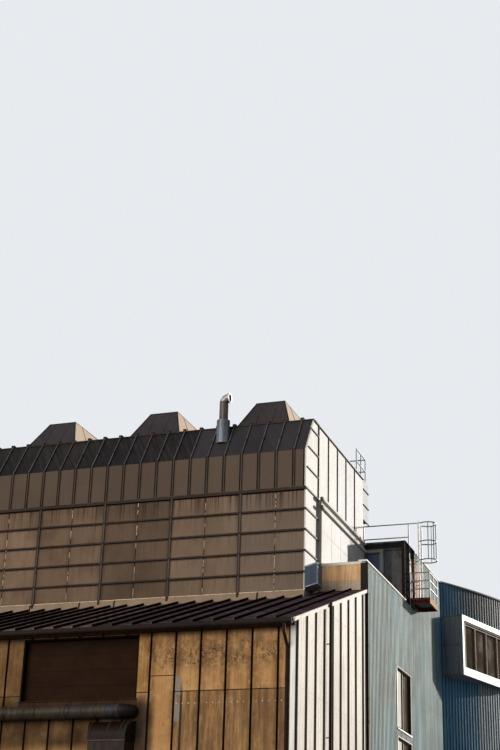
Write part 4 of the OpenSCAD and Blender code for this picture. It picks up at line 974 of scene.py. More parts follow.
@dataclass
class LeanToFront(SubAssembly):
    """Ochre front wall of the lean-to with its recesses, doorway and doors."""

    face_y: float = -6.75
    left_x: float = -16.32
    right_x: float = 1.62
    gap: float = 0.022
    first_joint: float = 1.307
    panel_w: float = 0.844
    joint_w: float = 0.03
    top_z: float = 10.87
    screws_end: float = -2.0
    bleached_x: Flat = (-3.5, -2.9)
    recess_x: Flat = (-7.43, -3.34)
    left_recess_x: Flat = (-13.208, -9.118)
    recess_z: Flat = (8.83, 10.83)
    sill_h: float = 0.21
    doorway: Rect = (-7.5, 0.0, -3.3, 4.5)
    steel_door: Rect = (-1.7, 0.0, -0.7, 2.1)
    coats = {
        "front_wall_right": Kit.joint_shadow, "front_wall_middle": Kit.joint_shadow,
        "front_wall_left": Kit.joint_shadow, "recess_panels": Kit.boards, "roller_shutter": Kit.zinc,
        "steel_doors": Kit.door,
    }

    def add_pieces(self) -> None:
        """Build the panels, their screws, the rails, reveals and corner strip."""
        self.panels()
        self.screws()
        self.recess_trims()
        self.corner_strip()
        self.door_fittings()

    def holes(self) -> list[Rect]:
        """List what the panels leave open."""
        low, high = self.recess_z
        recess, left = ((x0, low - self.sill_h, x1, high) for x0, x1 in (self.recess_x, self.left_recess_x))
        return [recess, self.doorway, self.steel_door, left]

    def columns(self) -> list[Flat]:
        """Give the left and right edge of every panel, from the right corner on."""
        edges, right, joint = [], self.right_x, self.first_joint
        while right > self.left_x + 0.1:
            left = max(joint, self.left_x)
            edges.append((left, right))
            right, joint = left - self.joint_w, left - self.panel_w
        return edges

    def panels(self) -> None:
        """Build the panels in three courses, each lapped over the one below."""
        ochre = self.start("front_panels", Kit.ochre)
        pale = self.start("bleached_front_panels", Kit.pale_ochre)
        laps = self.start("panel_lap_shadow_strips", Kit.joint_shadow)
        raised_laps, lap_z, raised_lap_z = (5, 9, 14), 9.02, 9.52
        y = self.face_y
        for number, (left, right) in enumerate(self.columns()):
            lap = raised_lap_z if number in raised_laps else lap_z
            left, right = left + self.gap, right - (self.gap if number else 0.0)
            for row, (low, high, thick) in enumerate((
                    (0.03, 4.62, 0.018), (4.58, lap + 0.04, 0.022), (lap, self.top_z, 0.03))):
                rects = [(left, low, right, high)]
                for hole in self.holes():
                    rects = cut_out(rects, hole)
                for x0, z0, x1, z1 in rects:
                    bleached = row == 2 and self.bleached_x[0] < x1 < self.bleached_x[1]
                    target = pale if bleached else ochre
                    target.sheet((x0, y, z0), (x1 - x0, 0, 0), (0, 0, z1 - z0), (0, -thick, 0),
                                 0.004, number * 31 + row, (6, max(2, int((z1 - z0) * 3))))
                    # A near-black strip under the top course's lower edge: painted shadow of the lap.
                    if row == 2 and z0 == lap:
                        laps.block((x0, y - 0.029, lap - 0.022), (x1, y - 0.02, lap + 0.003))

    def screws(self) -> None:
        """Set rows of screws across the panels at the right end."""
        piece = self.start("panel_screws", Kit.screw)
        step, clear, margin = 0.2, 0.06, 0.05
        holes = [(a - margin, b - margin, c + margin, d + margin) for a, b, c, d in self.holes()]
        for z, out in ((8.64, 0.024), (4.7, 0.024), (0.3, 0.02)):
            x = self.right_x - step
            while x > self.screws_end:
                off = (x - self.first_joint) % self.panel_w
                cut = any(a < x < c and b < z < d for a, b, c, d in holes)
                if clear <= off <= self.panel_w - clear and not cut:
                    piece.screw((x, self.face_y - out, z), (0, -1, 0), 0.021)
                x -= step

    def recess_trims(self) -> None:
        """Build the sill rail, the reveals painted near-black as shade, and the board laps of both recesses.
        """
        rails = self.start("recess_sills", Kit.sill, bevel=0.004)
        reveals = self.start("recess_reveals_painted_shade", Kit.joint_shadow)
        laps = self.start("board_laps", Kit.boards)
        y, (low, high) = self.face_y, self.recess_z
        for x0, x1 in (self.recess_x, self.left_recess_x):
            rails.strip("x", x0 - 0.02, x1 + 0.02, [
                (0, -self.sill_h), (-0.055, -self.sill_h), (-0.055, -0.195), (-0.03, -0.18), (-0.03, -0.03),
                (-0.06, -0.012), (-0.06, 0.008), (0.1, 0.014), (0.1, 0), (0, 0)], (y, low))
            for x in (x0, x1 - 0.05):
                reveals.block((x, y - 0.02, low + 0.01), (x + 0.05, y + 0.185, high))
            reveals.block((x0, y - 0.02, high - 0.05), (x1, y + 0.185, high))
            for k in range(1, 4):
                laps.strip("x", x0 + 0.05, x1 - 0.05, [
                    (0.19, -0.012), (0.181, -0.012), (0.181, -0.006), (0.19, 0.03)],
                    (y, low + k * (high - low) / 4))

    def corner_strip(self) -> None:
        """Build the folded strip over the panels' right ends and the trim under the eave."""
        y, foot = self.face_y, 0.03
        piece = self.start("front_corner_strip", Kit.end_strip, bevel=0.002)
        piece.strip("z", foot, 10.9, [
            (1.62, 0), (1.62, -0.022), (1.635, -0.03), (1.65, -0.026), (1.665, -0.026), (1.665, 0)], (0, y))
        piece.strip("x", self.left_x, 1.8, [
            (0, 0.03), (-0.03, 0.03), (-0.045, 0.045), (-0.03, 0.06), (-0.03, 0.13), (0, 0.14)],
            (y, self.top_z))
        cream = self.start("cream_corner_strip", Kit.corner_cream, bevel=0.002)
        cream.strip("z", foot, 11.02, [
            (1.68, 0), (1.68, -0.03), (1.69, -0.036), (1.7, -0.03), (1.83, -0.03), (1.845, -0.02),
            (1.845, 0)], (0, y))
        shadow = self.start("corner_shadow_gap", Kit.black)
        shadow.strip("z", foot, 11.08, [
            (1.845, -0.012), (1.857, -0.012), (1.857, 0.075), (1.85, 0.075)], (0, y))

    def door_fittings(self) -> None:
        """Build the steel door's frame, handle and hinges, and the doorway's edge angles."""
        piece = self.start("front_door_trims", Kit.brown, bevel=0.003)
        x0, _, x1, top = self.steel_door
        y = self.face_y + 0.09
        for a, b, low in ((x0, x0 + 0.05, 0.0), (x1 - 0.05, x1, 0.0), (x0, x1, top - 0.05)):
            piece.block((a, y - 0.11, low), (b, y, top))
        for end in ((x0 + 0.26, y - 0.06, 1.05), (x0 + 0.13, y, 1.05)):
            piece.tube((x0 + 0.13, y - 0.06, 1.05), end, 0.012)
        piece.block((x0 + 0.1, y - 0.012, 0.95), (x0 + 0.16, y, 1.15))
        for z in (0.35, 1.05, 1.75):
            piece.tube((x1 - 0.06, y - 0.012, z - 0.06), (x1 - 0.06, y - 0.012, z + 0.06), 0.014)
        left, _, right, head = self.doorway
        wall_y, cover, inset = self.face_y, 0.09, 0.02
        for a, b, back in ((left, left + inset, 0.25), (left - cover, left, -0.02),
                           (right - inset, right, 0.25), (right, right + cover, -0.02)):
            piece.block((a, wall_y - 0.03, 0.0), (b, wall_y + back, head))
        piece.block((left - cover, wall_y - 0.03, head), (right + cover, wall_y - 0.014, head + cover))


@dataclass
class LeanToRoof(SubAssembly):
    """Roof, gutter and downpipes of the lean-to."""

    eave_y: float = -7.1
    eave_z: float = 11.07
    junction_z: float = 13.5
    seams: int = 24
    seam_pitch: float = 0.69
    first_seam: float = -0.105
    coats = {
        "lean_to_roof": Kit.lean_roof, "front_gutter": Kit.brown, "downpipes": Kit.brown,
        "side_flashings": Kit.coping, "side_roof": Kit.lean_roof,
    }

    def add_pieces(self) -> None:
        """Fold a worn cap over each standing seam and an edge along the eave, and clip the downpipes."""
        caps = self.start("roof_seam_caps", Kit.rails)
        slope = (self.junction_z - self.eave_z) / -self.eave_y
        reach = 0.06 - self.eave_y
        low = self.junction_z + slope * self.eave_y + 0.076
        for k in range(self.seams):
            x = self.first_seam - k * self.seam_pitch
            caps.prism([(x + a, self.eave_y, low + b) for a, b in (
                (0, 0), (0.045, 0), (0.045, 0.012), (0.02, 0.02), (0, 0.012))], (0, reach, slope * reach))
        edge = self.start("eave_edge", Kit.brown)
        edge.strip("x", -16.44, 1.85, [(0, -0.02), (-0.012, -0.02), (-0.012, 0.012), (0.03, 0.022)],
                   (self.eave_y, self.eave_z))
        self.pipe_clips()

    def pipe_clips(self) -> None:
        """Build the clips and the joint sleeves of two downpipes, with each clip's tab to the wall."""
        piece = self.start("downpipe_clips", Kit.brown)
        first_clip, clip_step = 0.6, 1.9
        for x, y, top, (x0, y0, x1, y1) in (
                (1.59, -6.82, 10.0, (-0.02, 0, 0.02, 0.07)), (1.9, 1.675, 15.0, (-0.07, -0.02, 0, 0.02))):
            z = first_clip
            while z < top:
                piece.tube((x, y, z - 0.02), (x, y, z + 0.02), 0.058, 24)
                piece.block((x + x0, y + y0, z - 0.02), (x + x1, y + y1, z + 0.02))
                z += clip_step
            for joint in (3.2, 6.4, 9.3):
                piece.tube((x, y, joint - 0.05), (x, y, joint + 0.05), 0.056, 24)


@dataclass
class HallFront(SubAssembly):
    """Brown front cladding of the upper hall, its rails and the mansard above."""

    face_y: float = 0.06
    left_x: float = -16.32
    corner_bay: float = 2.575
    bay_w: float = 2.8
    bays: int = 5
    rib_pitch: float = 0.7
    least_width: float = 0.05
    rail_z: float = 17.65
    course_h: float = 0.8
    foot_z: float = 13.78
    bend: Flat = (0.06, 19.19)
    edge: Flat = (1.02, 20.7)
    coats = {
        "upper_front_wall": Kit.hall_joints, "front_cladding_rails": Kit.rails, "mansard_slope": Kit.slope,
        "mansard_ribs": Kit.rails, "upper_rear_wall": Kit.hall, "upper_roof": Kit.slope,
    }

    def add_pieces(self) -> None:
        """Build the field sheets, mansard sheets, sealant, flashing trims and sleeves."""
        self.field_sheets()
        self.mansard_sheets()
        self.sealant()
        self.foot_flashing()
        self.sleeves()
        self.worn_edges()

    @property
    def joints(self) -> list[float]:
        """X of the joint in the middle of each bay."""
        return [-self.corner_bay + self.bay_w / 2 - n * self.bay_w for n in range(self.bays + 1)]

    @property
    def mullions(self) -> list[float]:
        """X of each mullion."""
        return [-self.corner_bay - n * self.bay_w for n in range(self.bays)]

    @property
    def rails(self) -> list[float]:
        """Height of each rail, from the top one down."""
        return [self.rail_z - k * self.course_h for k in range(5)]

    @property
    def ribs(self) -> list[float]:
        """X of each rib of the mansard."""
        places, x = [], -self.corner_bay + 3 * self.rib_pitch
        while x > self.left_x:
            places.append(x)
            x -= self.rib_pitch
        return places

    @property
    def slope(self) -> Vector:
        """Run of the mansard from its bend to its edge."""
        return Vector((0, self.edge[0] - self.bend[0], self.edge[1] - self.bend[1]))

    @property
    def slope_out(self) -> Vector:
        """Direction out of the mansard's face."""
        return Vector((0, -self.slope.z, self.slope.y)).normalized()

    def field_sheets(self) -> None:
        """Build the sheets between the rails, the mullions and the joints."""
        piece = self.start("hall_field_sheets", Kit.hall)
        # Sheets stop short on the left of each mullion, so the near-black backing shows there as painted
        # shadow.
        stops = [(-0.06, 0.0)] + [(x - 0.07, x + 0.045) for x in self.mullions]
        stops += [(x - 0.014, x + 0.014) for x in self.joints]
        edges = sorted(stops, reverse=True) + [(self.left_x, self.left_x)]
        levels = self.rails + [self.foot_z - 0.005]
        seed = 0
        for right_stop, left_stop in zip(edges, edges[1:]):
            x0, x1 = left_stop[1], right_stop[0]
            if x1 - x0 < self.least_width:
                continue
            for row, (high, low) in enumerate(zip(levels, levels[1:])):
                z1 = high - (0.1 if row == 0 else 0.06)
                z0 = low + (0.035 if row < 4 else 0.0)
                seed += 1
                piece.sheet((x0, self.face_y, z0), (x1 - x0, 0, 0), (0, 0, z1 - z0), (0, -0.012, 0),
                            0.006, seed, (8, 5))

    def mansard_sheets(self) -> None:
        """Build the upright and the sloping sheets between the ribs."""
        upright = self.start("upper_course_sheets", Kit.hall)
        sloping = self.start("mansard_sheets", Kit.slope)
        half, low, height, cells = 0.025, self.rail_z + 0.06, 1.475, (5, 8)
        ribs = [-0.035] + self.ribs + [self.left_x + half]
        for seed, (right, left) in enumerate(zip(ribs, ribs[1:])):
            x0, wide = left + half, right - left - 2 * half
            if wide < self.least_width:
                continue
            # Each upright sheet stops short of the rib on its right, so the near-black backing shows there as
            # painted shadow.
            upright.sheet((x0 + 0.01, self.face_y, low), (wide - 0.07, 0, 0), (0, 0, height), (0, -0.008, 0),
                          0.005, seed + 300, cells)
            sloping.sheet((x0, *self.bend), (wide, 0, 0), self.slope, self.slope_out * 0.008,
                          0.005, seed + 400, cells)

    def sealant(self) -> None:
        """Lay the old broken bead of sealant down each joint."""
        piece = self.start("joint_sealant", Kit.sealant, smooth=True)
        pick = random.Random(7)
        for x in self.joints:
            z = self.foot_z + 0.05
            while z < self.rail_z - 0.1:
                length = pick.uniform(0.06, 0.4)
                near_rail = any(abs(z + length / 2 - rail) < 0.05 + length / 2 for rail in self.rails)
                if not near_rail or length < 0.15:
                    lean = pick.uniform(-0.004, 0.004)
                    piece.tube((x + lean, self.face_y - 0.008, z), (x - lean, self.face_y - 0.01, z + length),
                               pick.uniform(0.008, 0.014), 6, pick.uniform(0.006, 0.013))
                z += length + pick.uniform(0.01, 0.12)

    def foot_flashing(self) -> None:
        """Build the folded top edge of the foot flashing and the covers of its joints."""
        edge = self.start("flashing_edge", Kit.sealant)
        covers = self.start("flashing_joint_covers", Kit.rails, bevel=0.002)
        cuts = [0.0, -1.8, -4.6, -7.51, -8.97, -11.07, -13.9, self.left_x]
        for number, (right, left) in enumerate(zip(cuts, cuts[1:])):
            edge.strip("x", left + 0.004, right - 0.004, [
                (-0.011, -0.006), (-0.034, -0.02), (-0.038, -0.008), (-0.026, 0.006), (-0.011, 0.008)],
                (self.face_y, self.foot_z + 0.003 * (number % 3)))
        for x in (-1.8, -7.51, -8.97, -11.07):
            covers.sheet((x - 0.035, self.face_y - 0.088, 13.5), (0.07, 0, 0), (0, 0.068, 0.26),
                         (0, -0.012, 0), 0.001, 5, (2, 3))

    def worn_edges(self) -> None:
        """Lay pale strips on the rails' top edges and the mansard ribs' edges as painted highlights, and
        lighter covers on the mullions and the upright ribs.
        """
        edges, covers = self.start("rail_edge_highlights", Kit.rib_dark), self.start("mullion_covers", Kit.rib)
        slope_edge_highlights = self.start("mansard_rib_edge_highlights", Kit.slope_rib)
        for k, z in enumerate(self.rails):
            out, rise = (0.075, 0.06) if k == 0 else (0.045, 0.035)
            edges.strip("x", self.left_x, -0.005, [(0, -0.02), (-0.004, -0.018), (-0.004, 0), (0.03, 0.004)],
                        (self.face_y - out, z + rise))
        y = self.face_y - 0.06
        for x in self.mullions:
            for k, z in enumerate(self.rails):
                low = self.rails[k + 1] + 0.04 if k < 4 else self.foot_z
                covers.strip("z", low, z - (0.065 if k == 0 else 0.04), [
                    (-0.01, 0), (-0.01, -0.005), (0.047, -0.005), (0.047, 0.05), (0.045, 0.05),
                    (0.045, 0)], (x, y))
        for x in self.ribs:
            covers.strip("z", self.rail_z + 0.065, self.bend[1], [
                (-0.005, 0), (-0.005, -0.004), (0.027, -0.004), (0.027, 0.05), (0.025, 0.05),
                (0.025, 0)], (x, y))
            out, rim = self.slope_out * 0.06, Vector((0.037, 0, 0))
            foot = Vector((x - 0.012, *self.bend)) + out
            slope_edge_highlights.prism([foot, foot + out * 0.07, foot + out * 0.07 + rim, foot + rim], self.slope)

    def sleeves(self) -> None:
        """Put a small sleeve over each rib half way up the slope."""
        piece = self.start("rib_sleeves", Kit.rails, bevel=0.004)
        run, out, half = self.slope.normalized(), self.slope_out * 0.075, 0.045
        for x in self.ribs:
            foot = Vector((x - half, *self.bend)) + run * 0.84
            piece.prism([foot - run * 0.05, foot + run * 0.05, foot + run * half + out,
                         foot - run * half + out], (2 * half, 0, 0))


@dataclass
class HallSide(SubAssembly):
    """Cream side wall of the upper hall with its battens and ledges."""

    seams: tuple[float, ...] = (1.622, 2.984, 4.285, 5.577, 6.933, 8.4)
    field_end: float = 7.95
    rail_z: float = 17.65
    edge_z: float = 20.64
    coats = {"upper_side_wall": Kit.cream, "side_battens": Kit.batten, "rear_eave_box": Kit.cream}

    def add_pieces(self) -> None:
        """Build the sheets between the battens and those of the proud field."""
        upper, proud = self.start("side_upper_sheets", Kit.cream), self.start("side_field_sheets", Kit.cream)
        for seed, (y0, y1) in enumerate(zip(self.seams, self.seams[1:])):
            upper.sheet((0, y0 + 0.025, self.rail_z + 0.01), (0, y1 - y0 - 0.05, 0),
                        (0, 0, self.edge_z - self.rail_z - 0.07), (0.008, 0, 0), 0.005, seed + 500, (6, 8))
        for seed, (y0, y1) in enumerate(zip(self.seams, self.seams[1:-1] + (self.field_end,))):
            for row, (z0, z1) in enumerate(((15.24, 16.4), (16.41, 17.25))):
                proud.sheet((0.15, y0 + 0.012, z0), (0, y1 - y0 - 0.024, 0), (0, 0, z1 - z0), (0.007, 0, 0),
                            0.004, seed * 3 + row + 600, (6, 5))


@dataclass
class Monitors(SubAssembly):
    """The three hipped roof monitors."""

    first_x: float = -2.09
    pitch: float = 4.62
    foot_half: float = 1.075
    top_half: float = 0.595
    front_y: float = 1.02
    back_y: float = 7.12
    hip: float = 0.88
    foot_z: float = 20.7
    top_z: float = 22.0
    coats = {"roof_monitors": Kit.monitor, "gooseneck_vent": Kit.flue}

    def add_pieces(self) -> None:
        """Build the caps, the seams and the battens of every monitor."""
        caps, seams = self.start("monitor_caps", Kit.black), self.start("monitor_seams", Kit.rails)
        front, back, foot, top = self.front_y, self.back_y, self.foot_z, self.top_z
        cap_r, seam_r = 0.026, 0.018
        ends = ((front, front + self.hip), (back, back - self.hip))
        for x in (self.first_x - n * self.pitch for n in range(3)):
            for side in (-1, 1):
                for y0, y1 in ends:
                    caps.tube((x + side * self.foot_half, y0, foot),
                              (x + side * (self.top_half - 0.012), y1, top - 0.018), cap_r, 8)
                rim = x + side * (self.top_half - 0.01)
                caps.tube((rim, ends[0][1], top - 0.02), (rim, ends[1][1], top - 0.02), cap_r, 8)
                for y in (front + 1.5, (front + back) / 2, back - 1.5):
                    seams.tube((x + side * self.foot_half, y, foot),
                               (x + side * (self.top_half + 0.005), y, top - 0.03), seam_r, 6)
                for y0, y1 in ends:
                    seams.tube((x + side * 0.33, y0, foot), (x + side * 0.33, y1, top - 0.02), seam_r, 6)
            for _, y in ends:
                caps.tube((x - self.top_half, y, top - 0.02), (x + self.top_half, y, top - 0.02), cap_r, 8)
            seams.block((x - self.foot_half - 0.03, front - 0.006, foot),
                        (x + self.foot_half + 0.03, front + 0.05, foot + 0.05))


@dataclass
class SideWalls(SubAssembly):
    """White and light blue right walls, their windows and the parapet."""

    face_x: float = 1.85
    rear_y: float = 20.3
    window_y: Flat = (6.41, 8.81)
    window_h: float = 2.38
    first_sill: float = 1.7
    storey: float = 2.7
    blind_drops: tuple[float, ...] = (0.3, 0.9, 1.3, 0.05)
    rear_window_x: tuple[float, ...] = (-14.5, -9.7, -4.9)
    coats = {
        "white_side_wall": Kit.white, "blue_side_wall": Kit.blue, "window_frames": Kit.dark_frame,
        "window_glass": Kit.pane, "parapet_front": Kit.beige, "corner_hood": Kit.hood,
    }

    def add_pieces(self) -> None:
        """Build the sills, blinds, corner strips, screws and hood seams."""
        self.window_trims()
        self.wall_screws()
        self.corner_trims()

    def window_trims(self) -> None:
        """Build the sills of all windows, and the frames, dark far jambs and drawn blinds of the side's."""
        sills, blinds = self.start("side_window_sills", Kit.frame), self.start("window_blinds", Kit.blind)
        jambs = self.start("window_far_jambs", Kit.black)
        outer = self.start("window_outer_frames", Kit.frame, bevel=0.002)
        (y0, y1), x, border = self.window_y, self.face_x, 0.08
        middle = (y0 + y1) / 2
        for k, drop in enumerate(self.blind_drops):
            z = self.first_sill + k * self.storey
            head = z + self.window_h
            sills.strip("y", y0 - 0.05, y1 + 0.05, [
                (-0.07, 0.035), (0.045, 0.004), (0.045, -0.05), (0.035, -0.05), (0.03, -0.006),
                (-0.07, 0.012)], (x, z))
            sills.strip("y", y0 - 0.05, y1 + 0.05, [
                (-0.03, 0), (0.03, -0.02), (0.034, -0.012), (0.01, 0.03), (-0.03, 0.05)], (x, head))
            outer.strip("z", z, head, [(-0.01, -0.04), (0.018, -0.04), (0.022, 0.02), (-0.01, 0.02)], (x, y0))
            outer.block((x - 0.01, y1 - 0.01, z), (x + 0.018, y1 + 0.03, head))
            jambs.block((x - 0.19, y1 - 0.014, z + 0.04), (x - 0.012, y1, head - 0.01))
            for near, far in ((y0 + border, middle - 0.03), (middle + 0.03, middle + 0.24)):
                blinds.sheet((x - 0.104, near, z + border + drop), (0, far - near, 0),
                             (0, 0, self.window_h - 2 * border - drop), (0.004, 0, 0), 0.004, 40 + k, (14, 6))
        rear = self.start("rear_window_sills", Kit.frame)
        for x in self.rear_window_x:
            for k in range(5):
                rear.strip("x", x, x + 2.4, [(-0.07, 0.03), (-0.004, 0.012), (-0.004, 0), (-0.07, 0.012)],
                           (self.rear_y, self.first_sill + k * self.storey))

    def wall_screws(self) -> None:
        """Set screws along the laps of the white and the blue wall."""
        piece = self.start("side_wall_screws", Kit.screw)
        white_start, white_pitch, white_end = -6.67, 0.979, 1.7
        white = [white_start + k * white_pitch + off for k in range(9) for off in (0.14, 0.49, 0.84)]
        places = [(y, z) for z in (0.5, 4.66, 9.16, 10.6) for y in white if y < white_end]
        blue_start, blue_w, blue_ribs, blue_first = 1.75, 13.35, 65, 1.95
        blue = [blue_start + (k + 0.575) * blue_w / blue_ribs for k in range(0, blue_ribs, 2)]
        low, high = self.window_y[0] - 0.1, self.window_y[1] + 0.1
        for z, beside_window in ((0.6, False), (5.64, True), (11.64, True), (14.9, False)):
            places += [(y, z) for y in blue if y > blue_first and not (beside_window and low < y < high)]
        for y, z in places:
            piece.screw((self.face_x, y, z), (1, 0, 0), 0.013)

    def corner_trims(self) -> None:
        """Build the parapet's end strips and caps, and the rims of the corner hood."""
        dark = self.start("parapet_end_strip", Kit.brown, bevel=0.003)
        dark.strip("z", 14.05, 15.1, [
            (1.64, 1.75), (1.64, 1.728), (1.65, 1.722), (1.84, 1.722), (1.858, 1.73), (1.858, 1.79),
            (1.85, 1.79)])
        beige = self.start("parapet_end_cover", Kit.beige)
        beige.strip("z", 14.0, 15.06, [
            (1.55, 1.75), (1.55, 1.737), (1.56, 1.731), (1.64, 1.731), (1.64, 1.75)])
        pale = self.start("parapet_trims", Kit.coping, bevel=0.002)
        pale.strip("x", 0.02, 1.69, [
            (1.75, 15.06), (1.735, 15.06), (1.728, 15.08), (1.728, 15.17), (1.75, 15.17)])
        pale.strip("z", 0.03, 15.0, [(1.853, 1.755), (1.872, 1.76), (1.872, 1.86), (1.853, 1.87)])
        rims = self.start("corner_hood_rims", Kit.hood_rim)
        corners = [Vector((0.0, 0.0, 0.0)), Vector((0.61, -0.45, 0.0)), Vector((0.61, 0.19, 0.0))]
        for z0, z1 in ((13.83, 13.87), (14.58, 14.635)):
            low, high = Vector((0, 0, z0)), Vector((0, 0, z1))
            for here, there in zip(corners, corners[1:]):
                run = there - here
                out = here + Vector((run.y, -run.x, 0)).normalized() * 0.014
                rims.prism([here + low, out + low, out + high, here + high], run)
        rims.strip("z", 13.87, 14.58, [
            (0.6, -0.452), (0.612, -0.462), (0.624, -0.45), (0.624, -0.43), (0.61, -0.43)])


@dataclass
class DuctLine(SubAssembly):
    """Round duct on the front wall, with the cowl below its end."""

    wall_y: float = -6.75
    axis_y: float = -7.03
    z: float = 8.425
    radius: float = 0.21
    cowl_z: float = 7.64
    coats = {"wall_duct": Kit.duct, "fan_box": Kit.cowl}

    def add_pieces(self) -> None:
        """Build the elbow bands, the seams of each length, the hangers and the cowl's trims."""
        bands, hangers = self.start("duct_bands", Kit.duct), self.start("duct_hangers", Kit.rails)
        y, wall, top = self.axis_y, self.wall_y, self.z + self.radius
        for piece, half, over, places in (
                (bands, 0.012, 0.01, (-4.18, -3.94, -3.79)),
                (bands, 0.006, 0.005, (-9.2, -8.6, -8.1, -7.2, -6.2, -5.15)),
                (hangers, 0.02, 0.006, (-9.0, -7.0, -5.0))):
            for x in places:
                piece.tube((x - half, y, self.z), (x + half, y, self.z), self.radius + over, 40)
                if piece is hangers:
                    piece.block((x - 0.02, y, top - 0.03), (x + 0.02, wall, top))
                    piece.block((x - 0.06, wall - 0.025, top - 0.09), (x + 0.06, wall, top + 0.06))
        self.cowl()

    def cowl(self) -> None:
        """Build the seam strips on the cowl's curve and the flanges where it meets the hood."""
        strips, flanges = self.start("cowl_strips", Kit.rails), self.start("cowl_flanges", Kit.rib_dark)
        steps, y = 10, self.wall_y
        angles = [math.radians(90 * k / steps) for k in range(steps + 1)]
        arc, outer = ([(-r * math.sin(a), r * math.cos(a)) for a in angles] for r in (0.498, 0.51))
        for x in (-4.68, -4.07, -3.64, -3.48):
            for i in range(steps):
                ring = [arc[i], arc[i + 1], outer[i + 1], outer[i]]
                strips.strip("x", x, x + 0.035, ring, (y, self.cowl_z))
        flanges.block((-4.71, y - 0.509, 7.49), (-3.43, y - 0.5, 7.53))
        flanges.block((-4.69, y - 0.5, 6.7), (-3.45, y - 0.48, 6.75))


@dataclass
class Penthouse(SubAssembly):
    """Penthouse, landing, ladder and roof rails."""

    face_y: float = 8.2
    side_x: float = 1.85
    floor_z: float = 15.24
    coats = {
        "penthouse_wall": Kit.penthouse, "platform": Kit.rust, "platform_rail": Kit.cage_paint,
        "ladder": Kit.ladder_paint, "ladder_cage": Kit.cage_paint, "roof_rails": Kit.guard,
        "rear_roof": Kit.slope,
    }

    def add_pieces(self) -> None:
        """Build the light post, the doors' fittings, the flashings, and the landing's bolts and treads."""
        y, x, floor, lever_z, landing_lever_z = self.face_y, self.side_x, self.floor_z, 16.3, 16.45
        pale = self.start("penthouse_post", Kit.guard, bevel=0.002)
        pale.strip("z", floor, 17.42, [
            (0.83, 0), (0.83, -0.03), (0.84, -0.034), (0.87, -0.034), (0.88, -0.03), (0.88, 0)], (0, y))
        pale.strip("x", 0.08, 0.89, [
            (0, 17.32), (-0.028, 17.32), (-0.034, 17.36), (-0.02, 17.39), (0, 17.39)], (y, 0))
        dark = self.start("penthouse_trims", Kit.brown, bevel=0.002)
        dark.strip("z", floor, 17.69, [
            (-0.15, 0), (-0.15, -0.02), (-0.13, -0.026), (0, -0.026), (0, 0)], (x, y))
        for end in ((0.31, y + 0.03, lever_z), (0.2, y + 0.09, lever_z)):
            dark.tube((0.2, y + 0.03, lever_z), end, 0.011)
        for z in (15.65, 16.95):
            dark.tube((0.76, y + 0.075, z - 0.06), (0.76, y + 0.075, z + 0.06), 0.013)
        cream = self.start("landing_door_flashing", Kit.cream, bevel=0.002)
        cream.strip("z", 15.23, 17.45, [(0, 8.97), (0.016, 8.98), (0.016, 9.14), (0, 9.15)], (x, 0))
        handle = self.start("landing_door_handle", Kit.zinc, bevel=0.002)
        for end in ((x - 0.03, 9.7, landing_lever_z), (x - 0.095, 9.8, landing_lever_z)):
            handle.tube((x - 0.03, 9.8, landing_lever_z), end, 0.011)
        handle.block((x - 0.1, 9.76, 16.3), (x - 0.086, 9.84, 16.6))
        bolts, treads = self.start("landing_bolts", Kit.rust), self.start("landing_treads", Kit.rust)
        for z in (15.3, 15.44):
            for along in (9.2, 9.6, 10.05, 10.45):
                bolts.screw((2.7, along, z), (1, 0, 0), 0.018)
            for across in (1.95, 2.25, 2.55):
                bolts.screw((across, 9.05, z), (0, -1, 0), 0.018)
        first_tread, tread_step = 9.1, 0.094
        for k in range(16):
            along = first_tread + k * tread_step
            treads.block((1.9, along, 15.5), (2.66, along + 0.012, 15.508))


@dataclass
class RearWing(SubAssembly):
    """Rear wall, curved wing and bay window."""

    corner: Flat = (2.9, 14.95)
    angle: float = 73.5
    length: float = 4.78
    low_z: float = 13.37
    height: float = 2.75
    coats = {
        "rear_wall": Kit.navy, "wing_wall": Kit.navy, "bay_shell": Kit.bay_sheet, "bay_frame": Kit.bay_inner,
    }

    def along(self, distance: float, out: float, z: float) -> Vector:
        """Place a point on the bay's face, a distance along it and out from it."""
        a = math.radians(self.angle)
        return Vector((self.corner[0] + distance * math.cos(a) + out * math.sin(a),
                       self.corner[1] + distance * math.sin(a) - out * math.cos(a), z))

    def slab(self, piece: Shape, start: float, end: float, inner: float, outer: float, foot: float,
             head: float) -> None:
        """Add an upright slab between two distances along the face, two out from it and two heights."""
        ring = ((start, inner), (start, outer), (end, outer), (end, inner))
        piece.prism([self.along(d, out, foot) for d, out in ring], (0, 0, head - foot))

    def add_pieces(self) -> None:
        """Build the edge strips of the bay window and the joints on its near side."""
        low, top = self.low_z, self.low_z + self.height
        dark = self.start("bay_head_shadow_strip", Kit.dark_frame)
        self.slab(dark, 0.09, self.length - 0.09, 0.0, 0.006, top - 0.37, top - 0.265)
        covers = self.start("bay_border_covers", Kit.bay_paint, bevel=0.002)
        for start, end, foot, head in (
                (0.0, 0.15, low + 0.02, top - 0.02), (self.length - 0.2, self.length, low + 0.02, top - 0.02),
                (0.16, self.length - 0.21, top - 0.25, top - 0.02),
                (0.16, self.length - 0.21, low + 0.02, low + 0.37)):
            self.slab(covers, start, end, 0.001, 0.012, foot, head)
        joint = self.start("bay_side_joint", Kit.rib_dark)
        for z in (low + 0.02, 14.75, top - 0.06):
            self.slab(joint, -0.012, 0.0, -1.01, -0.01, z, z + 0.03)


@dataclass
class Inside(SubAssembly):
    """Floors, columns, girders and the party wall."""

    coats = {
        "floor_slabs": Kit.concrete, "hall_columns": Kit.rails, "hall_girders": Kit.rails,
        "party_wall": Kit.concrete,
    }


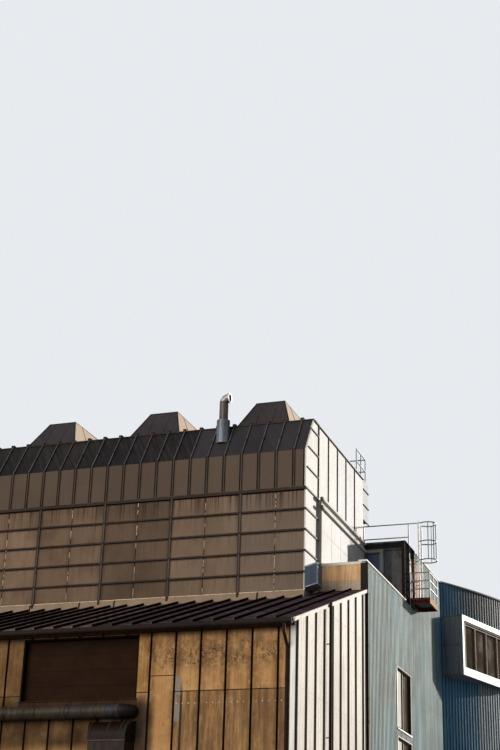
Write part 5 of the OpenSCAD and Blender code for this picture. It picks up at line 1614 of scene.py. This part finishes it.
@dataclass
class Studio:
    """Floor, backdrop, lamps and the camera of the photograph.

    Attributes:
        datum: The building's datum in the frame.
        place: Where the camera stands, from the datum.
        heading: Turn to the left of straight back, in degrees.
        pitch: Tilt upwards, in degrees.
        roll: Roll, in degrees.
        focal_px: Focal length in pixels of the photograph.
        long_side_px: Long side of the photograph in pixels.
        key: Direction towards the key lamp.
        front: Direction towards the soft front lamp.
    """

    datum: Vector
    place: Point = (14.377, -46.504, 1.6)
    heading: float = 19.758
    pitch: float = 22.859
    roll: float = 1.722
    focal_px: float = 1372.025
    long_side_px: float = 750.0
    key: Point = (0.493, 0.831, 0.259)
    front: Point = (-0.36, -0.89, 0.28)

    def build(self) -> None:
        """Build the whole studio."""
        self.floor()
        self.world()
        self.lamp("key_lamp", self.key, 4.8, 1.6, (1.0, 0.97, 0.93))
        self.lamp("front_lamp", self.front, 2.7, 50.0, (1.0, 0.98, 0.96))
        self.camera()

    def floor(self) -> None:
        """Lay a large floor, pale to the camera, that throws little light back at the walls."""
        mesh = bmesh.new()
        bmesh.ops.create_grid(mesh, x_segments=8, y_segments=8, size=160.0)
        data = bpy.data.meshes.new("studio_floor")
        mesh.to_mesh(data)
        mesh.free()
        floor = bpy.data.objects.new("studio_floor", data)
        floor.location.z = -0.005
        bpy.context.scene.collection.objects.link(floor)
        material = bpy.data.materials.new("studio_floor_paint")
        material.use_nodes = True
        material.node_tree.nodes.clear()
        graph = Graph(material.node_tree)
        cloud = graph.noise(graph.node("TexCoord").outputs["Object"], 0.05, 2.0)
        seen = graph.mix(cloud, (0.74, 0.74, 0.74), (0.8, 0.8, 0.8))
        colour = graph.mix(graph.node("LightPath").outputs["Is Camera Ray"], (0.25, 0.25, 0.25), seen)
        shader = graph.node("BsdfPrincipled", {
            "Base Color": colour, "Roughness": 0.9, "Specular IOR Level": 0.1})
        graph.node("OutputMaterial", {"Surface": shader.outputs[0]})
        data.materials.append(material)
        floor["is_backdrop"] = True

    def world(self) -> None:
        """Light everything evenly, and show a pale backdrop to the camera and in reflections."""
        world = bpy.data.worlds.new("studio_world")
        bpy.context.scene.world = world
        world.use_nodes = True
        world.node_tree.nodes.clear()
        graph = Graph(world.node_tree)
        fill = graph.node("Background", {"Color": (0.6, 0.8, 1.0), "Strength": 0.22})
        backdrop = graph.node("Background", {"Color": (0.8, 0.83, 0.86), "Strength": 1.0})
        rays = graph.node("LightPath").outputs
        shown = graph.math("MAXIMUM", rays["Is Camera Ray"], rays["Is Glossy Ray"])
        shown = graph.math("MAXIMUM", shown, rays["Is Transmission Ray"])
        mixed = graph.node("MixShader", {0: shown, 1: fill.outputs[0], 2: backdrop.outputs[0]})
        graph.node("OutputWorld", {"Surface": mixed.outputs[0]})

    def lamp(self, name: str, towards: Point, strength: float, wide: float, colour: Colour) -> None:
        """Hang one far lamp.

        Args:
            name: The lamp's name.
            towards: Direction towards it.
            strength: Its strength.
            wide: How wide it looks, in degrees.
            colour: Colour of its light.
        """
        lamp = bpy.data.lights.new(name, "SUN")
        lamp.energy = strength
        lamp.angle = math.radians(wide)
        lamp.color = colour
        hung = bpy.data.objects.new(name, lamp)
        hung.rotation_mode = "QUATERNION"
        hung.rotation_quaternion = Vector(towards).to_track_quat("Z", "Y")
        bpy.context.scene.collection.objects.link(hung)

    def camera(self) -> None:
        """Stand the camera where the photograph was taken."""
        h, t, r = (math.radians(a) for a in (self.heading, self.pitch, self.roll))
        ahead = Vector((-math.sin(h) * math.cos(t), math.cos(h) * math.cos(t), math.sin(t)))
        right = Vector((math.cos(h), math.sin(h), 0.0))
        up = right.cross(ahead)
        turned_right = right * math.cos(r) + up * math.sin(r)
        turned_up = up * math.cos(r) - right * math.sin(r)
        data = bpy.data.cameras.new("photo_camera")
        data.sensor_fit = "AUTO"
        data.sensor_width = 36.0
        data.lens = self.focal_px / self.long_side_px * data.sensor_width
        data.clip_start, data.clip_end = 0.5, 500.0
        camera = bpy.data.objects.new("photo_camera", data)
        turn = Matrix((turned_right, turned_up, -ahead)).transposed().to_4x4()
        camera.matrix_world = Matrix.Translation(self.datum + Vector(self.place)) @ turn
        bpy.context.scene.collection.objects.link(camera)
        bpy.context.scene.camera = camera


def main() -> tuple[list[float], list[float]]:
    """Build the dressed building and its studio.

    Returns:
        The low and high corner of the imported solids, before anything is added.
    """
    logging.basicConfig(level=logging.INFO, format="%(message)s")
    for old in list(bpy.data.objects):
        bpy.data.objects.remove(old)
    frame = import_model()
    low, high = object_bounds()
    workshop = Workshop(frame["nodes"])
    for group in (LeanToFront, LeanToRoof, HallFront, HallSide, Monitors, SideWalls, DuctLine, Penthouse,
                  RearWing, Inside):
        group(workshop).build()
        log.info("finished %s", group.__name__)
    Studio(workshop.datum).build()
    bpy.context.scene.view_settings.view_transform = "Standard"
    return list(low), list(high)


if __name__ == "__main__":
    cad_box = main()
